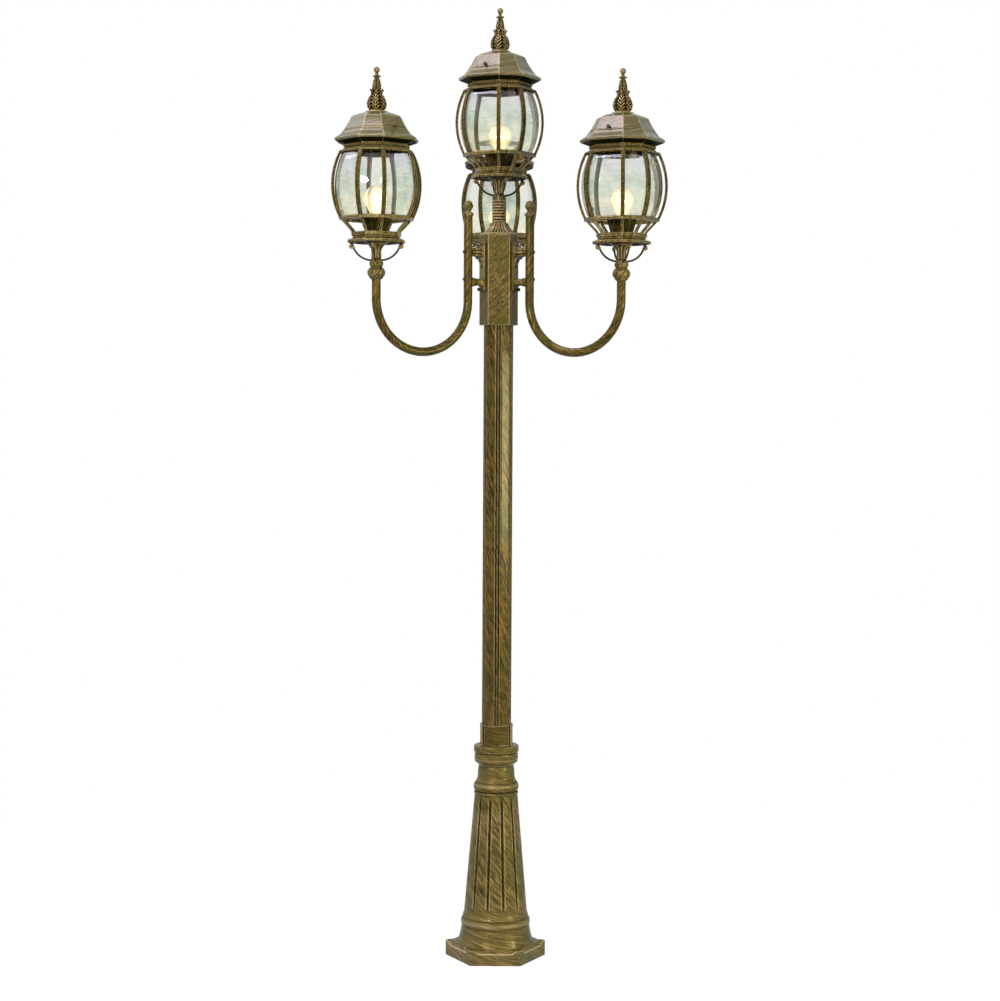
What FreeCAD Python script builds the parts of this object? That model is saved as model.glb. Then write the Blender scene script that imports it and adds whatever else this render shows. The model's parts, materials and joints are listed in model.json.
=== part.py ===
import FreeCAD, Part
import os
import re

import Sketcher

# Garden lamp post with four lanterns: one on the post's axis and three on U-shaped arms.
# Millimetres and degrees. Z is up, the origin is the centre of the anchor holes on the
# underside of the foot, and the post's front looks along -Y.

# Driving sizes: (alias, value, meaning)
SIZES = [
    # foot and base casting
    ("foot_corner_radius", 128, "hexagonal foot, centre to corner"),
    ("foot_height", 38, "foot at the bolt pads"),
    ("foot_edge_drop", 9, "how far the foot's edge falls between two pads"),
    ("foot_edge_depth", 12, "how far in the fallen edge reaches"),
    ("pad_length", 14, "bolt pad along the foot's edge, from the corner"),
    ("anchor_circle_radius", 115, "anchor holes from the axis"),
    ("anchor_hole_radius", 5, "anchor hole"),
    ("base_wall", 6, "wall of the base casting"),
    ("bell_foot_radius", 97, "bell where it leaves the foot"),
    ("bell_waist_radius", 86.5, "bell below the lower bead"),
    ("lower_bead_low", 82, "lower bead, lower edge"),
    ("lower_bead_height", 22, "lower bead"),
    ("lower_bead_out", 2.6, "how far the lower bead stands out"),
    ("cone_foot_radius", 79.6, "fluted cone, foot"),
    ("cone_foot_height", 126, "fluted cone starts at"),
    ("cone_top_radius", 55, "fluted cone, top"),
    ("cone_height", 287, "fluted cone"),
    ("flute_count", 12, "flutes round the cone"),
    ("flute_radius", 4.2, "cutter of a flute"),
    ("flute_depth", 2.4, "flute"),
    ("flute_margin", 3, "plain cone above and below a flute"),
    ("small_bead_rise", 4, "small bead over the cone's top"),
    ("small_bead_height", 7, "small bead"),
    ("small_bead_out", 1.4, "how far the small bead stands out"),
    ("upper_bead_rise", 4, "upper bead over the small one"),
    ("upper_bead_height", 19, "upper bead"),
    ("upper_bead_out", 2.8, "how far the upper bead stands out"),
    ("shaft_radius", 46.9, "straight shaft over the upper bead"),
    ("shaft_rise", 19, "straight shaft over the upper bead"),
    ("shaft_height", 9, "straight shaft"),
    ("throat_radius", 44.4, "narrowest place of the base"),
    ("throat_rise", 15, "narrowest place over the shaft"),
    ("crown_rise", 10, "ring's foot over the narrowest place"),
    ("crown_radius", 57, "ring at the base's top"),
    ("crown_height", 42, "ring and the flare below it"),
    ("crown_step", 2.2, "how far the ring's lower half stands back"),
    ("crown_groove", 1.2, "groove round the ring"),
    ("crown_groove_width", 5, "groove round the ring"),
    ("crown_edge", 3.5, "rounded top edge of the ring"),
    ("socket_depth", 112, "pole's socket in the base"),
    ("socket_ledge", 12, "ledge that the pole stands on"),
    # pole
    ("pole_flat_radius", 37.25, "pole, axis to flat"),
    ("pole_corner_radius", 38.6, "pole, axis to the bead at a corner"),
    ("pole_wall", 3, "pole's wall"),
    ("pole_groove_radius", 1.7, "grooves beside the corner bead"),
    ("pole_groove_angle", 5.6, "groove from the corner, seen from the axis"),
    ("pole_to_hub_top", 5, "pole's end below the hub's top"),
    ("pole_clearance", 0.4, "round bores over the pole's corners"),
    # collar over the base
    ("collar_height", 53, "collar"),
    ("collar_flat_radius", 41.5, "collar, axis to flat"),
    ("collar_corner_radius", 44, "collar, axis to its rounded corners"),
    ("collar_screw_height", 8, "collar screws over the collar's foot"),
    # hub
    ("hub_foot", 1607, "hub's lower edge over the ground"),
    ("hub_height", 224, "hub"),
    ("hub_corner_radius", 49, "hub, axis to corner"),
    ("hub_wide_angle", 33.2, "half of a wide face, seen from the axis"),
    ("hub_screw_low", 38, "lower front screw over the hub's foot"),
    ("hub_screw_gap", 19, "from one front screw to the next"),
    ("cap_height", 33, "hub cap"),
    ("cap_rim", 1.6, "how far the cap's rim stands out"),
    ("cap_rim_height", 3.5, "cap's rim"),
    ("cap_top_radius", 23, "cap's top, axis to corner"),
    ("cap_wall", 4, "cap's wall"),
    # coupler on the cap
    ("coupler_height", 66, "ribbed coupler"),
    ("coupler_radius", 18.3, "coupler over its ribs"),
    ("coupler_rib", 1.5, "rib's height"),
    ("coupler_ribs", 8, "ribs"),
    ("coupler_collar", 8, "plain collar on the coupler"),
    ("nipple_radius", 8, "pivot nipple that carries a lantern"),
    ("nipple_height", 24, "pivot nipple"),
    ("nipple_bore", 4.6, "wireway in the nipple, radius"),
    ("pivot_clearance", 0.05, "radial clearance of a lantern's pivot"),
    # arms
    ("arm_left", 210, "direction of the left arm"),
    ("arm_right", 330, "direction of the right arm"),
    ("arm_rear", 90, "direction of the rear arm"),
    ("arm_radius", 11, "arm tube"),
    ("arm_bore", 9, "arm tube's bore, radius"),
    ("arm_reach", 345, "lantern's axis from the post's axis"),
    ("arm_root", 89, "arm's inner leg from the post's axis"),
    ("bend_drop", 27, "centre of the arm's bend below the bracket plates"),
    ("arm_end_rise", 65, "end of the inner leg over the bracket plates"),
    ("outer_leg", 46, "straight outer leg, from the bend to the knuckle"),
    ("knuckle_height", 44, "knuckle on the outer leg"),
    ("knuckle_radius", 22, "knuckle's ball"),
    ("knuckle_collar", 17, "knuckle's collar, radius"),
    ("knuckle_collar_height", 11, "knuckle's collar"),
    ("plug_depth", 10, "how deep tubes and plugs sit in each other"),
    ("plug_clearance", 0.15, "radial clearance of a plug"),
    ("finial_disc_radius", 12.8, "disc under the arm's ball"),
    ("finial_disc_height", 6, "disc under the arm's ball"),
    ("arm_ball_radius", 11.5, "ball on the arm's inner end"),
    ("arm_ball_rise", 20, "ball's centre over the disc"),
    # brackets
    ("plate_rise", 85, "bracket plate's lower end over the hub's"),
    ("plate_height", 121, "bracket plate"),
    ("plate_width", 26, "bracket plate"),
    ("plate_thickness", 6, "bracket plate"),
    ("spacer_radius", 11.5, "turned spacer at its rim"),
    ("spacer_waist", 8.5, "turned spacer at its waist"),
    ("spacer_upper", 96, "upper spacer over the plate's foot"),
    ("spacer_lower", 21.5, "lower spacer over the plate's foot"),
    ("lower_bolt_rise", 6.5, "lower bolt over its spacer's axis"),
    ("lug_radius", 11, "round lug at the plate's foot"),
    ("lug_height", 8, "round lug at the plate's foot"),
    ("bolt_radius", 2.5, "bracket bolts"),
    ("bolt_clearance", 0.15, "bolt holes, radial"),
    ("bolt_tip", 4, "bolt end outside the tube"),
    ("screw_radius", 2, "small screws"),
    ("screw_head", 3.4, "small screws' heads, radius"),
    ("screw_head_height", 2.4, "small screws' heads"),
    # leads
    ("lead_radius", 3, "supply leads"),
    ("lead_hole", 3.4, "holes for the leads, radius"),
    ("lead_drop", 4.5, "arm's lead below the lower spacer's axis"),
    ("lead_bend", 9, "arm's lead, bend into the spacer"),
    # lantern, heights counted from its seat
    ("narrow_angle", 17.5, "half of a narrow facet, seen from the lantern's axis"),
    ("neck_height", 44, "fluted neck"),
    ("neck_radius", 12, "fluted neck"),
    ("neck_foot_radius", 14, "neck's foot ring"),
    ("neck_foot_height", 4, "neck's foot ring"),
    ("neck_top_radius", 25, "neck's flared top"),
    ("neck_flutes", 10, "flutes round the neck"),
    ("neck_flute_radius", 1.6, "neck's flutes"),
    ("scroll_radius", 2, "scroll rods"),
    ("scroll_foot_rise", 2.6, "scroll rods' lower ends over the seat"),
    ("scroll_bulge", 8, "how far a scroll rod bulges outwards"),
    ("scroll_curl", 6, "curl at a scroll rod's end, radius"),
    ("scroll_gap", 0.3, "from the curl up to the tray"),
    ("tray_height", 26, "tray"),
    ("tray_radius", 71.5, "tray's lower lip, axis to corner"),
    ("tray_top_radius", 62, "tray's upper lip, axis to corner"),
    ("tray_waist", 3, "how far the tray draws in between its lips"),
    ("tray_wall", 4, "tray's wall"),
    ("strut_height", 28, "struts between tray and cage"),
    ("strut_width", 7, "strut"),
    ("strut_depth", 6, "strut, seen from its side"),
    ("strut_top_radius", 87, "strut's outer edge at its top"),
    ("cup_foot_radius", 27, "lamp cup's foot, axis to corner"),
    ("cup_top_radius", 37, "lamp cup's mouth, axis to corner"),
    ("cup_height", 34, "lamp cup"),
    ("cup_wall", 2, "lamp cup's wall"),
    ("wire_hole", 6, "wire hole through tray and neck, radius"),
    ("ring_height", 10, "gallery ring"),
    ("ring_radius", 92.5, "gallery ring and upper lip, axis to corner"),
    ("ring_inner_radius", 76, "the rings' openings, axis to corner"),
    ("cage_height", 152, "ribs between the rings"),
    ("rib_end_radius", 90, "rib's outer edge at its ends"),
    ("rib_bulge", 18, "how far a rib bulges at mid height"),
    ("rib_width", 10, "rib"),
    ("rib_depth", 5, "rib without its bead"),
    ("rib_bead", 2, "bead on the rib, height"),
    ("rib_bead_width", 4, "bead on the rib"),
    ("glass_thickness", 3, "panes"),
    ("glass_clearance", 0.3, "gap round each pane"),
    ("lip_height", 7, "upper lip ring"),
    ("band_height", 14, "moulded band over the lip"),
    ("band_radius", 81.5, "moulded band, axis to corner"),
    ("band_groove", 3, "groove round the band"),
    ("lug_face", 61, "cage lug's outer face from the axis"),
    ("lug_thickness", 4, "cage lug"),
    ("lug_width", 16, "cage lug"),
    ("lug_rise", 45, "cage lug over the band"),
    # roof, heights counted from the band's top
    ("eave_radius", 104, "eave, axis to corner"),
    ("eave_rise", 12, "eave's edge over the band"),
    ("eave_edge", 5, "eave's edge"),
    ("slope_radius", 84.5, "inner end of the eave's slope"),
    ("slope_rise", 30, "inner end of the eave's slope"),
    ("wall_foot_radius", 79, "roof wall's foot"),
    ("wall_foot_rise", 37, "roof wall's foot"),
    ("shoulder_radius", 64, "roof's shoulder"),
    ("shoulder_rise", 65, "roof's shoulder"),
    ("roof_top_radius", 34, "top slope's inner end"),
    ("roof_top_rise", 77, "top slope's inner end"),
    ("roof_collar_radius", 28.5, "collar under the finial"),
    ("roof_collar_height", 4, "collar under the finial"),
    ("roof_wall", 4, "roof's wall"),
    ("thumb_rise", 40, "thumb screws over the band"),
    ("thumb_head_radius", 4.3, "thumb screw's ball"),
    # finial, heights counted from the roof collar
    ("finial_foot_radius", 19, "carved bulb's foot"),
    ("finial_bulb_radius", 24, "carved bulb"),
    ("finial_bulb_rise", 22, "carved bulb's widest place"),
    ("finial_neck_radius", 13, "neck over the bulb"),
    ("finial_neck_rise", 43, "neck over the bulb"),
    ("finial_crown_radius", 19, "leaf crown"),
    ("finial_crown_rise", 50, "leaf crown"),
    ("finial_bud_radius", 10, "upper bud"),
    ("finial_bud_rise", 62, "upper bud's widest place"),
    ("finial_stem_radius", 5, "stem under the ball"),
    ("finial_stem_rise", 84, "stem under the ball"),
    ("finial_ring_radius", 9, "small ring under the ball"),
    ("finial_ball_radius", 7.6, "ball"),
    ("finial_height", 108, "finial"),
    # lamp
    ("holder_radius", 19, "lampholder"),
    ("holder_height", 37, "lampholder"),
    ("holder_floor", 3, "lampholder's floor"),
    ("cap_radius", 13, "lamp's screw cap"),
    ("cap_clearance", 0.06, "screw cap in the lampholder, radial"),
    ("cap_length", 26, "lamp's screw cap"),
    ("bulb_radius", 30, "lamp's globe"),
    ("bulb_height", 82, "lamp's glass over the cap"),
    ("bulb_wall", 0.8, "lamp's glass"),
    # how the lanterns are turned on their pivots
    ("turn_top", 16, "top lantern"),
    ("turn_left", 265.8, "left lantern"),
    ("turn_right", 15, "right lantern"),
    ("turn_rear", 135, "rear lantern"),
]

# Worked out from the driving sizes
WORKED = {
    "foot_flat_radius": "foot_corner_radius * cos(30)",
    "cone_top": "cone_foot_height + cone_height",
    "small_bead_foot": "cone_top + small_bead_rise",
    "small_bead_top": "small_bead_foot + small_bead_height",
    "upper_bead_foot": "small_bead_top + upper_bead_rise",
    "upper_bead_top": "upper_bead_foot + upper_bead_height",
    "shaft_foot": "upper_bead_top + shaft_rise",
    "shaft_top": "shaft_foot + shaft_height",
    "throat_height": "shaft_top + throat_rise",
    "crown_foot": "throat_height + crown_rise",
    "crown_groove_foot": "crown_foot + crown_height / 2",
    "base_height": "crown_foot + crown_height",
    "cone_slope": "atan((cone_foot_radius - cone_top_radius) / cone_height)",
    "pole_bore": "pole_corner_radius + pole_clearance",
    "pole_foot": "base_height - socket_depth",
    "pole_top": "hub_top - pole_to_hub_top",
    "pole_inner_radius": "pole_flat_radius - pole_wall",
    "collar_top": "base_height + collar_height",
    "hub_top": "hub_foot + hub_height",
    "hub_wide_flat": "hub_corner_radius * cos(hub_wide_angle)",
    "hub_narrow_flat": "hub_corner_radius * cos(60 - hub_wide_angle)",
    "cap_top": "hub_top + cap_height",
    "top_seat": "cap_top + coupler_height",
    "rib_pitch": "(coupler_height - coupler_collar) / coupler_ribs",
    "bend_radius": "(arm_reach - arm_root) / 2",
    "bend_axis": "(arm_reach + arm_root) / 2",
    "plate_foot": "hub_foot + plate_rise",
    "bend_height": "plate_foot - bend_drop",
    "arm_top": "plate_foot + plate_height + arm_end_rise",
    "knuckle_foot": "bend_height + outer_leg",
    "lantern_seat": "knuckle_foot + knuckle_height",
    "arm_outer_end": "knuckle_foot + plug_depth",
    "knuckle_socket": "arm_radius + plug_clearance",
    "upper_bolt_height": "plate_foot + spacer_upper",
    "lower_spacer_height": "plate_foot + spacer_lower",
    "lower_bolt_height": "lower_spacer_height + lower_bolt_rise",
    "plate_screw_height": "plate_foot + plate_height / 2",
    "plate_face": "hub_narrow_flat + plate_thickness",
    "lead_height": "lower_spacer_height - lead_drop",
    "bolt_hole": "bolt_radius + bolt_clearance",
    "screw_hole": "screw_radius + bolt_clearance",
    "wide_angle": "45 - narrow_angle",
    "tray_top": "neck_height + tray_height",
    "ring_low": "tray_top + strut_height",
    "ring_top": "ring_low + ring_height",
    "lip_low": "ring_top + cage_height",
    "lip_top": "lip_low + lip_height",
    "band_top": "lip_top + band_height",
    "holder_low": "tray_top + cup_wall + glass_clearance",
    "lamp_low": "holder_low + holder_floor + glass_clearance",
    "lamp_glass_low": "lamp_low + cap_length",
    "thumb_height": "band_top + thumb_rise",
    "finial_seat": "band_top + roof_top_rise + roof_collar_height",
}

NAMES = {alias for alias, _, _ in SIZES}

doc = FreeCAD.newDocument("lamp_post")
sheet = doc.addObject("Spreadsheet::Sheet", "sizes")
for row, (alias, value, meaning) in enumerate(SIZES, start=1):
    sheet.set(f"A{row}", meaning)
    sheet.set(f"B{row}", str(value))
    sheet.setAlias(f"B{row}", alias)
doc.recompute()


def bound(text):
    """Turn an expression of plain words into one of the sheet's cells."""

    def swap(match):
        word = match.group(0)
        if word in WORKED:
            return "(" + bound(WORKED[word]) + ")"
        return "sizes." + word if word in NAMES else word

    return re.sub(r"[a-z][a-z_]+", swap, str(text))


def number(text):
    """What an expression of plain words comes to now."""
    return float(sheet.evalExpression(bound(text)))


# --- sketches and the solids made from them ---


def add_edges(sketch, points, closed):
    """Draw lines and arcs through points, each bound to the sheet.

    A point is (x, y), or (x, y, bulge) where the way to the next point is an arc that
    bulges by so much to the right of the way, or to its left when bulge is negative.
    """
    places = [(number(p[0]), number(p[1])) for p in points]
    count = len(points) if closed else len(points) - 1
    ends = []
    for i in range(count):
        here, there = points[i], points[(i + 1) % len(points)]
        a = FreeCAD.Vector(*places[i], 0)
        b = FreeCAD.Vector(*places[(i + 1) % len(points)], 0)
        if len(here) == 2:
            edge = sketch.addGeometry(Part.LineSegment(a, b), False)
            ends.append((edge, 1, 2))
            continue
        bulge = number(here[2])
        along = b - a
        right = FreeCAD.Vector(along.y, -along.x, 0).normalize()
        peak = (a + b) / 2 + right * bulge
        curve = Part.Arc(a, peak, b).toShape().Curve
        low, high = sorted_angles(curve, a, b, bulge > 0)
        ring = Part.Circle(curve.Center, UP, curve.Radius)
        edge = sketch.addGeometry(Part.ArcOfCircle(ring, low, high), False)
        ends.append((edge, 1, 2) if bulge > 0 else (edge, 2, 1))
        chord = f"(({there[0]}) - ({here[0]}))^2 + (({there[1]}) - ({here[1]}))^2"
        size = f"abs(({chord}) / (8 * ({here[2]})) + ({here[2]}) / 2)"
        limit = sketch.addConstraint(Sketcher.Constraint("Radius", edge, curve.Radius))
        sketch.setExpression(f"Constraints[{limit}]", bound(size))
    for i in range(1, count):
        join = Sketcher.Constraint("Coincident", ends[i - 1][0], ends[i - 1][2], ends[i][0], ends[i][1])
        sketch.addConstraint(join)
    if closed:
        join = Sketcher.Constraint("Coincident", ends[-1][0], ends[-1][2], ends[0][0], ends[0][1])
        sketch.addConstraint(join)
    for i, point in enumerate(points):
        edge, start, finish = ends[i] if i < count else (ends[-1][0], ends[-1][2], None)
        for direction, text, place in zip(("DistanceX", "DistanceY"), point, places[i]):
            rule = Sketcher.Constraint(direction, -1, 1, edge, start, place)
            limit = sketch.addConstraint(rule)
            sketch.setExpression(f"Constraints[{limit}]", bound(text))


def sorted_angles(curve, a, b, turns_left):
    """First and last angle of an arc from a to b, for a curve that always turns left."""
    first, last = (a, b) if turns_left else (b, a)
    angles = []
    for point in (first, last):
        spoke = point - curve.Center
        angles.append(FreeCAD.Vector(1, 0, 0).getAngle(spoke) * (1 if spoke.y >= 0 else -1))
    return angles[0], angles[1] if angles[1] > angles[0] else angles[1] + 2 * PI


UP = FreeCAD.Vector(0, 0, 1)
PI = 3.141592653589793
STANDING = FreeCAD.Placement(FreeCAD.Vector(), FreeCAD.Rotation(FreeCAD.Vector(1, 0, 0), 90))


def sketched(name, points, closed=True, standing=True):
    """A sketch in the XZ plane, or in the XY plane where standing is false."""
    sketch = doc.addObject("Sketcher::SketchObject", name)
    if standing:
        sketch.Placement = STANDING
    add_edges(sketch, points, closed)
    return sketch


def turned(name, points):
    """A solid turned about the Z axis, from half of its section."""
    solid = doc.addObject("Part::Revolution", name)
    solid.Source = sketched(name + "_section", points)
    solid.Axis = UP
    solid.Base = FreeCAD.Vector()
    solid.Angle = 360
    solid.Solid = True
    return solid


def slab(name, points, width):
    """A plate whose side view is drawn in the XZ plane, centred on that plane."""
    solid = doc.addObject("Part::Extrusion", name)
    solid.Base = sketched(name + "_side", points)
    solid.DirMode = "Normal"
    solid.Solid = True
    solid.Symmetric = True
    solid.setExpression("LengthFwd", bound(width))
    return solid


def column(name, points, low, height):
    """A prism whose plan is drawn in the XY plane."""
    solid = doc.addObject("Part::Extrusion", name)
    solid.Base = sketched(name + "_plan", points, standing=False)
    solid.DirMode = "Custom"
    solid.Dir = UP
    solid.Solid = True
    solid.setExpression("LengthFwd", bound(height))
    return moved(name + "_up", solid, z=low)


def rod(name, radius, low, height):
    """A cylinder on the Z axis."""
    solid = doc.addObject("Part::Cylinder", name)
    solid.setExpression("Radius", bound(radius))
    solid.setExpression("Height", bound(height))
    return moved(name + "_up", solid, z=low)


def pin(name, radius, start, length, z="0", y="0"):
    """A cylinder along the X axis, from start outwards."""
    solid = doc.addObject("Part::Cylinder", name)
    solid.setExpression("Radius", bound(radius))
    solid.setExpression("Height", bound(length))
    return lying(name + "_out", solid, start, z, y)


def lying(name, source, x="0", z="0", y="0"):
    """A piece made along Z, laid along X and moved."""
    return moved(name, source, x=x, y=y, z=z, axis="0; 1; 0", angle="90")


def ball(name, radius, x="0", z="0"):
    solid = doc.addObject("Part::Sphere", name)
    solid.setExpression("Radius", bound(radius))
    return moved(name + "_there", solid, x=x, z=z)


def block(name, near, depth, width, low, height):
    """A box that starts at near on the X axis, which runs through the middle of its width."""
    solid = doc.addObject("Part::Box", name)
    solid.setExpression("Length", bound(depth))
    solid.setExpression("Width", bound(width))
    solid.setExpression("Height", bound(height))
    return moved(name + "_there", solid, x=near, y=f"-({width}) / 2", z=low)


def hexagonal(name, flat_radius, low, height, turn="30"):
    """A regular six-sided prism with a corner at the angle turn."""
    solid = doc.addObject("Part::Prism", name)
    solid.Polygon = 6
    solid.setExpression("Circumradius", bound(f"({flat_radius}) / cos(30)"))
    solid.setExpression("Height", bound(height))
    return moved(name + "_up", solid, z=low, angle=turn)


def piped(name, path, radius):
    """A round bar along a path of lines and arcs in the XZ plane."""
    ring = doc.addObject("Part::Circle", name + "_ring")
    ring.setExpression("Radius", bound(radius))
    start, after = path[0], path[1]
    flat = len(start) == 2 and number(start[0]) == number(after[0])
    lean = "0" if flat else path_angle(path)
    sweep_from = moved(name + "_start", ring, x=start[0], z=start[1], axis="0; 1; 0", angle=lean)
    solid = doc.addObject("Part::Sweep", name)
    solid.Sections = [sweep_from]
    solid.Spine = (sketched(name + "_path", path, closed=False), [])
    solid.Solid = True
    return solid


def path_angle(path):
    """How far the first stretch of a path leans from Z towards X."""
    (ax, az), (bx, bz) = [(number(p[0]), number(p[1])) for p in path[:2]]
    chord = FreeCAD.Vector(bx - ax, 0, bz - az)
    lean = FreeCAD.Vector(0, 0, 1).getAngle(chord) * 180 / PI * (1 if chord.x >= 0 else -1)
    if len(path[0]) == 2:
        return str(lean)
    bulge = number(path[0][2])
    half = chord.Length / 2
    radius = (half * half + bulge * bulge) / (2 * abs(bulge))
    away = (radius ** 2 - half ** 2) ** 0.5
    swing = FreeCAD.Vector(1, 0, 0).getAngle(FreeCAD.Vector(away, half, 0)) * 180 / PI
    return str(lean + (swing if bulge > 0 else -swing))


# --- placing, cutting and joining ---


def moved(name, source, x="0", y="0", z="0", axis="0; 0; 1", angle="0"):
    """A copy of a piece, turned and then moved, that follows its source."""
    copy = doc.addObject("Part::Compound", name)
    copy.Links = [source]
    place = f"vector({bound(x)}; {bound(y)}; {bound(z)})"
    turn = f"rotation(vector({axis}); {bound(angle)})"
    copy.setExpression("Placement", f"placement({place}; {turn})")
    return copy


def around(name, source, angles):
    """Copies of a piece at angles about the Z axis."""
    return [moved(f"{name}_{i}", source, angle=angle) for i, angle in enumerate(angles)]


def joined(name, pieces):
    solid = doc.addObject("Part::MultiFuse", name)
    solid.Shapes = pieces
    solid.Refine = True
    return solid


def cut(name, body, tools):
    solid = doc.addObject("Part::Cut", name)
    solid.Base = body
    solid.Tool = tools[0] if len(tools) == 1 else grouped(name + "_tools", tools)
    solid.Refine = True
    return solid


def shared(name, first, second):
    solid = doc.addObject("Part::Common", name)
    solid.Base = first
    solid.Tool = second
    return solid


def grouped(name, pieces):
    group = doc.addObject("Part::Compound", name)
    group.Links = pieces
    return group


def polar(radius, angle):
    return (f"({radius}) * cos({angle})", f"({radius}) * sin({angle})")


NODES = []


def node(label, source, **place):
    """Name a finished sub-part and put it in its place."""
    part = moved(label, source, **place)
    part.Label = label
    NODES.append(part)
    return part


# --- the lantern's eight-sided sections ---

QUARTERS = [0, 90, 180, 270]
CORNERS = [f"{q} {side} narrow_angle" for q in QUARTERS for side in ("-", "+")]
NARROW = [str(q) for q in QUARTERS]
WIDE = [str(q + 45) for q in QUARTERS]
THUMB_SIDES = [WIDE[0], WIDE[2]]
ARMS = ["arm_left", "arm_right", "arm_rear"]
WIDE_FACES = ["arm_left + 60", "arm_right + 60", "arm_rear + 60"]


def lofted(name, plan, levels):
    """A solid with flat facets through like sections at (height, radius) levels."""
    sections = []
    for i, (height, radius) in enumerate(levels):
        flat = sketched(f"{name}_plan_{i}", plan(radius), standing=False)
        place = f"placement(vector(0; 0; {bound(height)}); rotation(vector(0; 0; 1); 0))"
        flat.setExpression("Placement", place)
        sections.append(flat)
    solid = doc.addObject("Part::Loft", name)
    solid.Sections = sections
    solid.Solid = True
    solid.Ruled = True
    return solid


def octagon(radius):
    return [polar(radius, corner) for corner in CORNERS]


def hub_plan(radius):
    """The hub's six-sided plan: wide faces between the arms, narrow faces at the arms."""
    order = ("arm_rear", "arm_left", "arm_right")
    corners = [f"{arm} {side} (60 - hub_wide_angle)" for arm in order for side in ("-", "+")]
    return [polar(radius, corner) for corner in corners]


# --- post ---


def base_casting():
    foot = hexagonal("foot", "foot_flat_radius", "0", "foot_height", turn="0")
    bell = turned("bell", [
        ("0", "foot_height / 2"),
        ("bell_foot_radius", "foot_height / 2"),
        ("bell_foot_radius", "foot_height", "-1.5"),
        ("bell_waist_radius", "lower_bead_low", "lower_bead_out"),
        ("bell_waist_radius - 1", "lower_bead_low + lower_bead_height", "-1.2"),
        ("cone_foot_radius", "cone_foot_height"),
        ("cone_top_radius", "cone_top"),
        ("cone_top_radius", "small_bead_foot", "small_bead_out"),
        ("cone_top_radius", "small_bead_top"),
        ("cone_top_radius - 0.5", "upper_bead_foot", "upper_bead_out"),
        ("cone_top_radius - 0.5", "upper_bead_top", "-1.5"),
        ("shaft_radius", "shaft_foot"),
        ("shaft_radius", "shaft_top"),
        ("throat_radius", "throat_height", "-1.2"),
        ("crown_radius - crown_step", "crown_foot", "1"),
        ("crown_radius - crown_step", "crown_groove_foot"),
        ("crown_radius - crown_step - crown_groove", "crown_groove_foot + 0.4 * crown_groove_width"),
        ("crown_radius", "crown_groove_foot + crown_groove_width"),
        ("crown_radius", "base_height - crown_edge", "1"),
        ("crown_radius - crown_edge", "base_height"),
        ("0", "base_height"),
    ])
    hollow = turned("base_hollow", [
        ("0", "-1"),
        ("bell_foot_radius - base_wall", "-1"),
        ("bell_foot_radius - base_wall", "foot_height"),
        ("bell_waist_radius - base_wall", "lower_bead_low"),
        ("cone_foot_radius - base_wall", "cone_foot_height"),
        ("cone_top_radius - base_wall", "cone_top - 5"),
        ("pole_inner_radius", "pole_foot - socket_ledge"),
        ("pole_inner_radius", "pole_foot"),
        ("pole_bore", "pole_foot"),
        ("pole_bore", "base_height + 1"),
        ("0", "base_height + 1"),
    ])
    edge = slab("foot_edge", [
        ("foot_flat_radius - foot_edge_depth", "foot_height"),
        ("foot_flat_radius", "foot_height - foot_edge_drop"),
        ("foot_flat_radius + 5", "foot_height - foot_edge_drop"),
        ("foot_flat_radius + 5", "foot_height + 5"),
        ("foot_flat_radius - foot_edge_depth", "foot_height + 5"),
    ], "foot_corner_radius - 2 * pad_length")
    edges = around("foot_edges", edge, ["30", "90", "150", "210", "270", "330"])
    hole = moved("anchor_hole_there", rod("anchor_hole", "anchor_hole_radius", "-1", "foot_height + 2"),
                 x="anchor_circle_radius")
    holes = around("anchor_holes", hole, ["0", "60", "120", "180", "240", "300"])
    flute = doc.addObject("Part::Cylinder", "flute")
    flute.setExpression("Radius", bound("flute_radius"))
    flute.setExpression("Height", bound("(cone_height - 2 * flute_margin) / cos(cone_slope)"))
    margin_drop = "flute_margin * tan(cone_slope)"
    leaning = moved("flute_there", flute, axis="0; 1; 0", angle="-cone_slope",
                    x=f"cone_foot_radius - {margin_drop} + flute_radius - flute_depth",
                    z="cone_foot_height + flute_margin")
    count = int(number("flute_count"))
    flutes = around("flutes", leaning, [f"({i} + 0.5) * 360 / flute_count" for i in range(count)])
    shell = cut("base_edged", foot, edges)
    shell = joined("base_body", [shell, bell])
    return node("base_casting", cut("base_cut", shell, [hollow] + holes + flutes))


def pole():
    length = "pole_top - pole_foot"
    outside = hexagonal("pole_flats", "pole_flat_radius", "pole_foot", length)
    corners = rod("pole_corners", "pole_corner_radius", "pole_foot", length)
    inside = rod("pole_inside", "pole_inner_radius", "pole_foot - 1", f"{length} + 2")
    groove = rod("pole_groove", "pole_groove_radius", "pole_foot - 1", f"{length} + 2")
    groove = moved("pole_groove_there", groove, x="pole_corner_radius")
    angles = [f"{corner} {side} pole_groove_angle" for corner in range(30, 390, 60) for side in ("-", "+")]
    way = pin("pole_lead_way", "lead_hole", "pole_inner_radius - 5", "10", z="lead_height")
    ways = around("pole_lead_ways", way, ARMS)
    tools = [inside] + around("pole_grooves", groove, angles) + ways
    return node("pole", cut("pole_cut", shared("pole_bar", outside, corners), tools))


def base_collar():
    flats = hexagonal("collar_flats", "collar_flat_radius", "base_height", "collar_height")
    corners = rod("collar_corners", "collar_corner_radius", "base_height", "collar_height")
    bore = rod("collar_bore", "pole_bore", "base_height - 1", "collar_height + 2")
    height = "base_height + collar_screw_height"
    way = pin("collar_way", "screw_hole", "pole_corner_radius - 1", "10", z=height)
    ways = around("collar_ways", way, WIDE_FACES)
    node("base_collar", cut("collar_cut", shared("collar_bar", flats, corners), [bore] + ways))
    screw = small_screw("collar_screw", "pole_bore", "collar_corner_radius")
    screws = around("collar_screws", screw, WIDE_FACES)
    node("collar_screws", grouped("collar_screw_set", screws), z=height)


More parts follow.
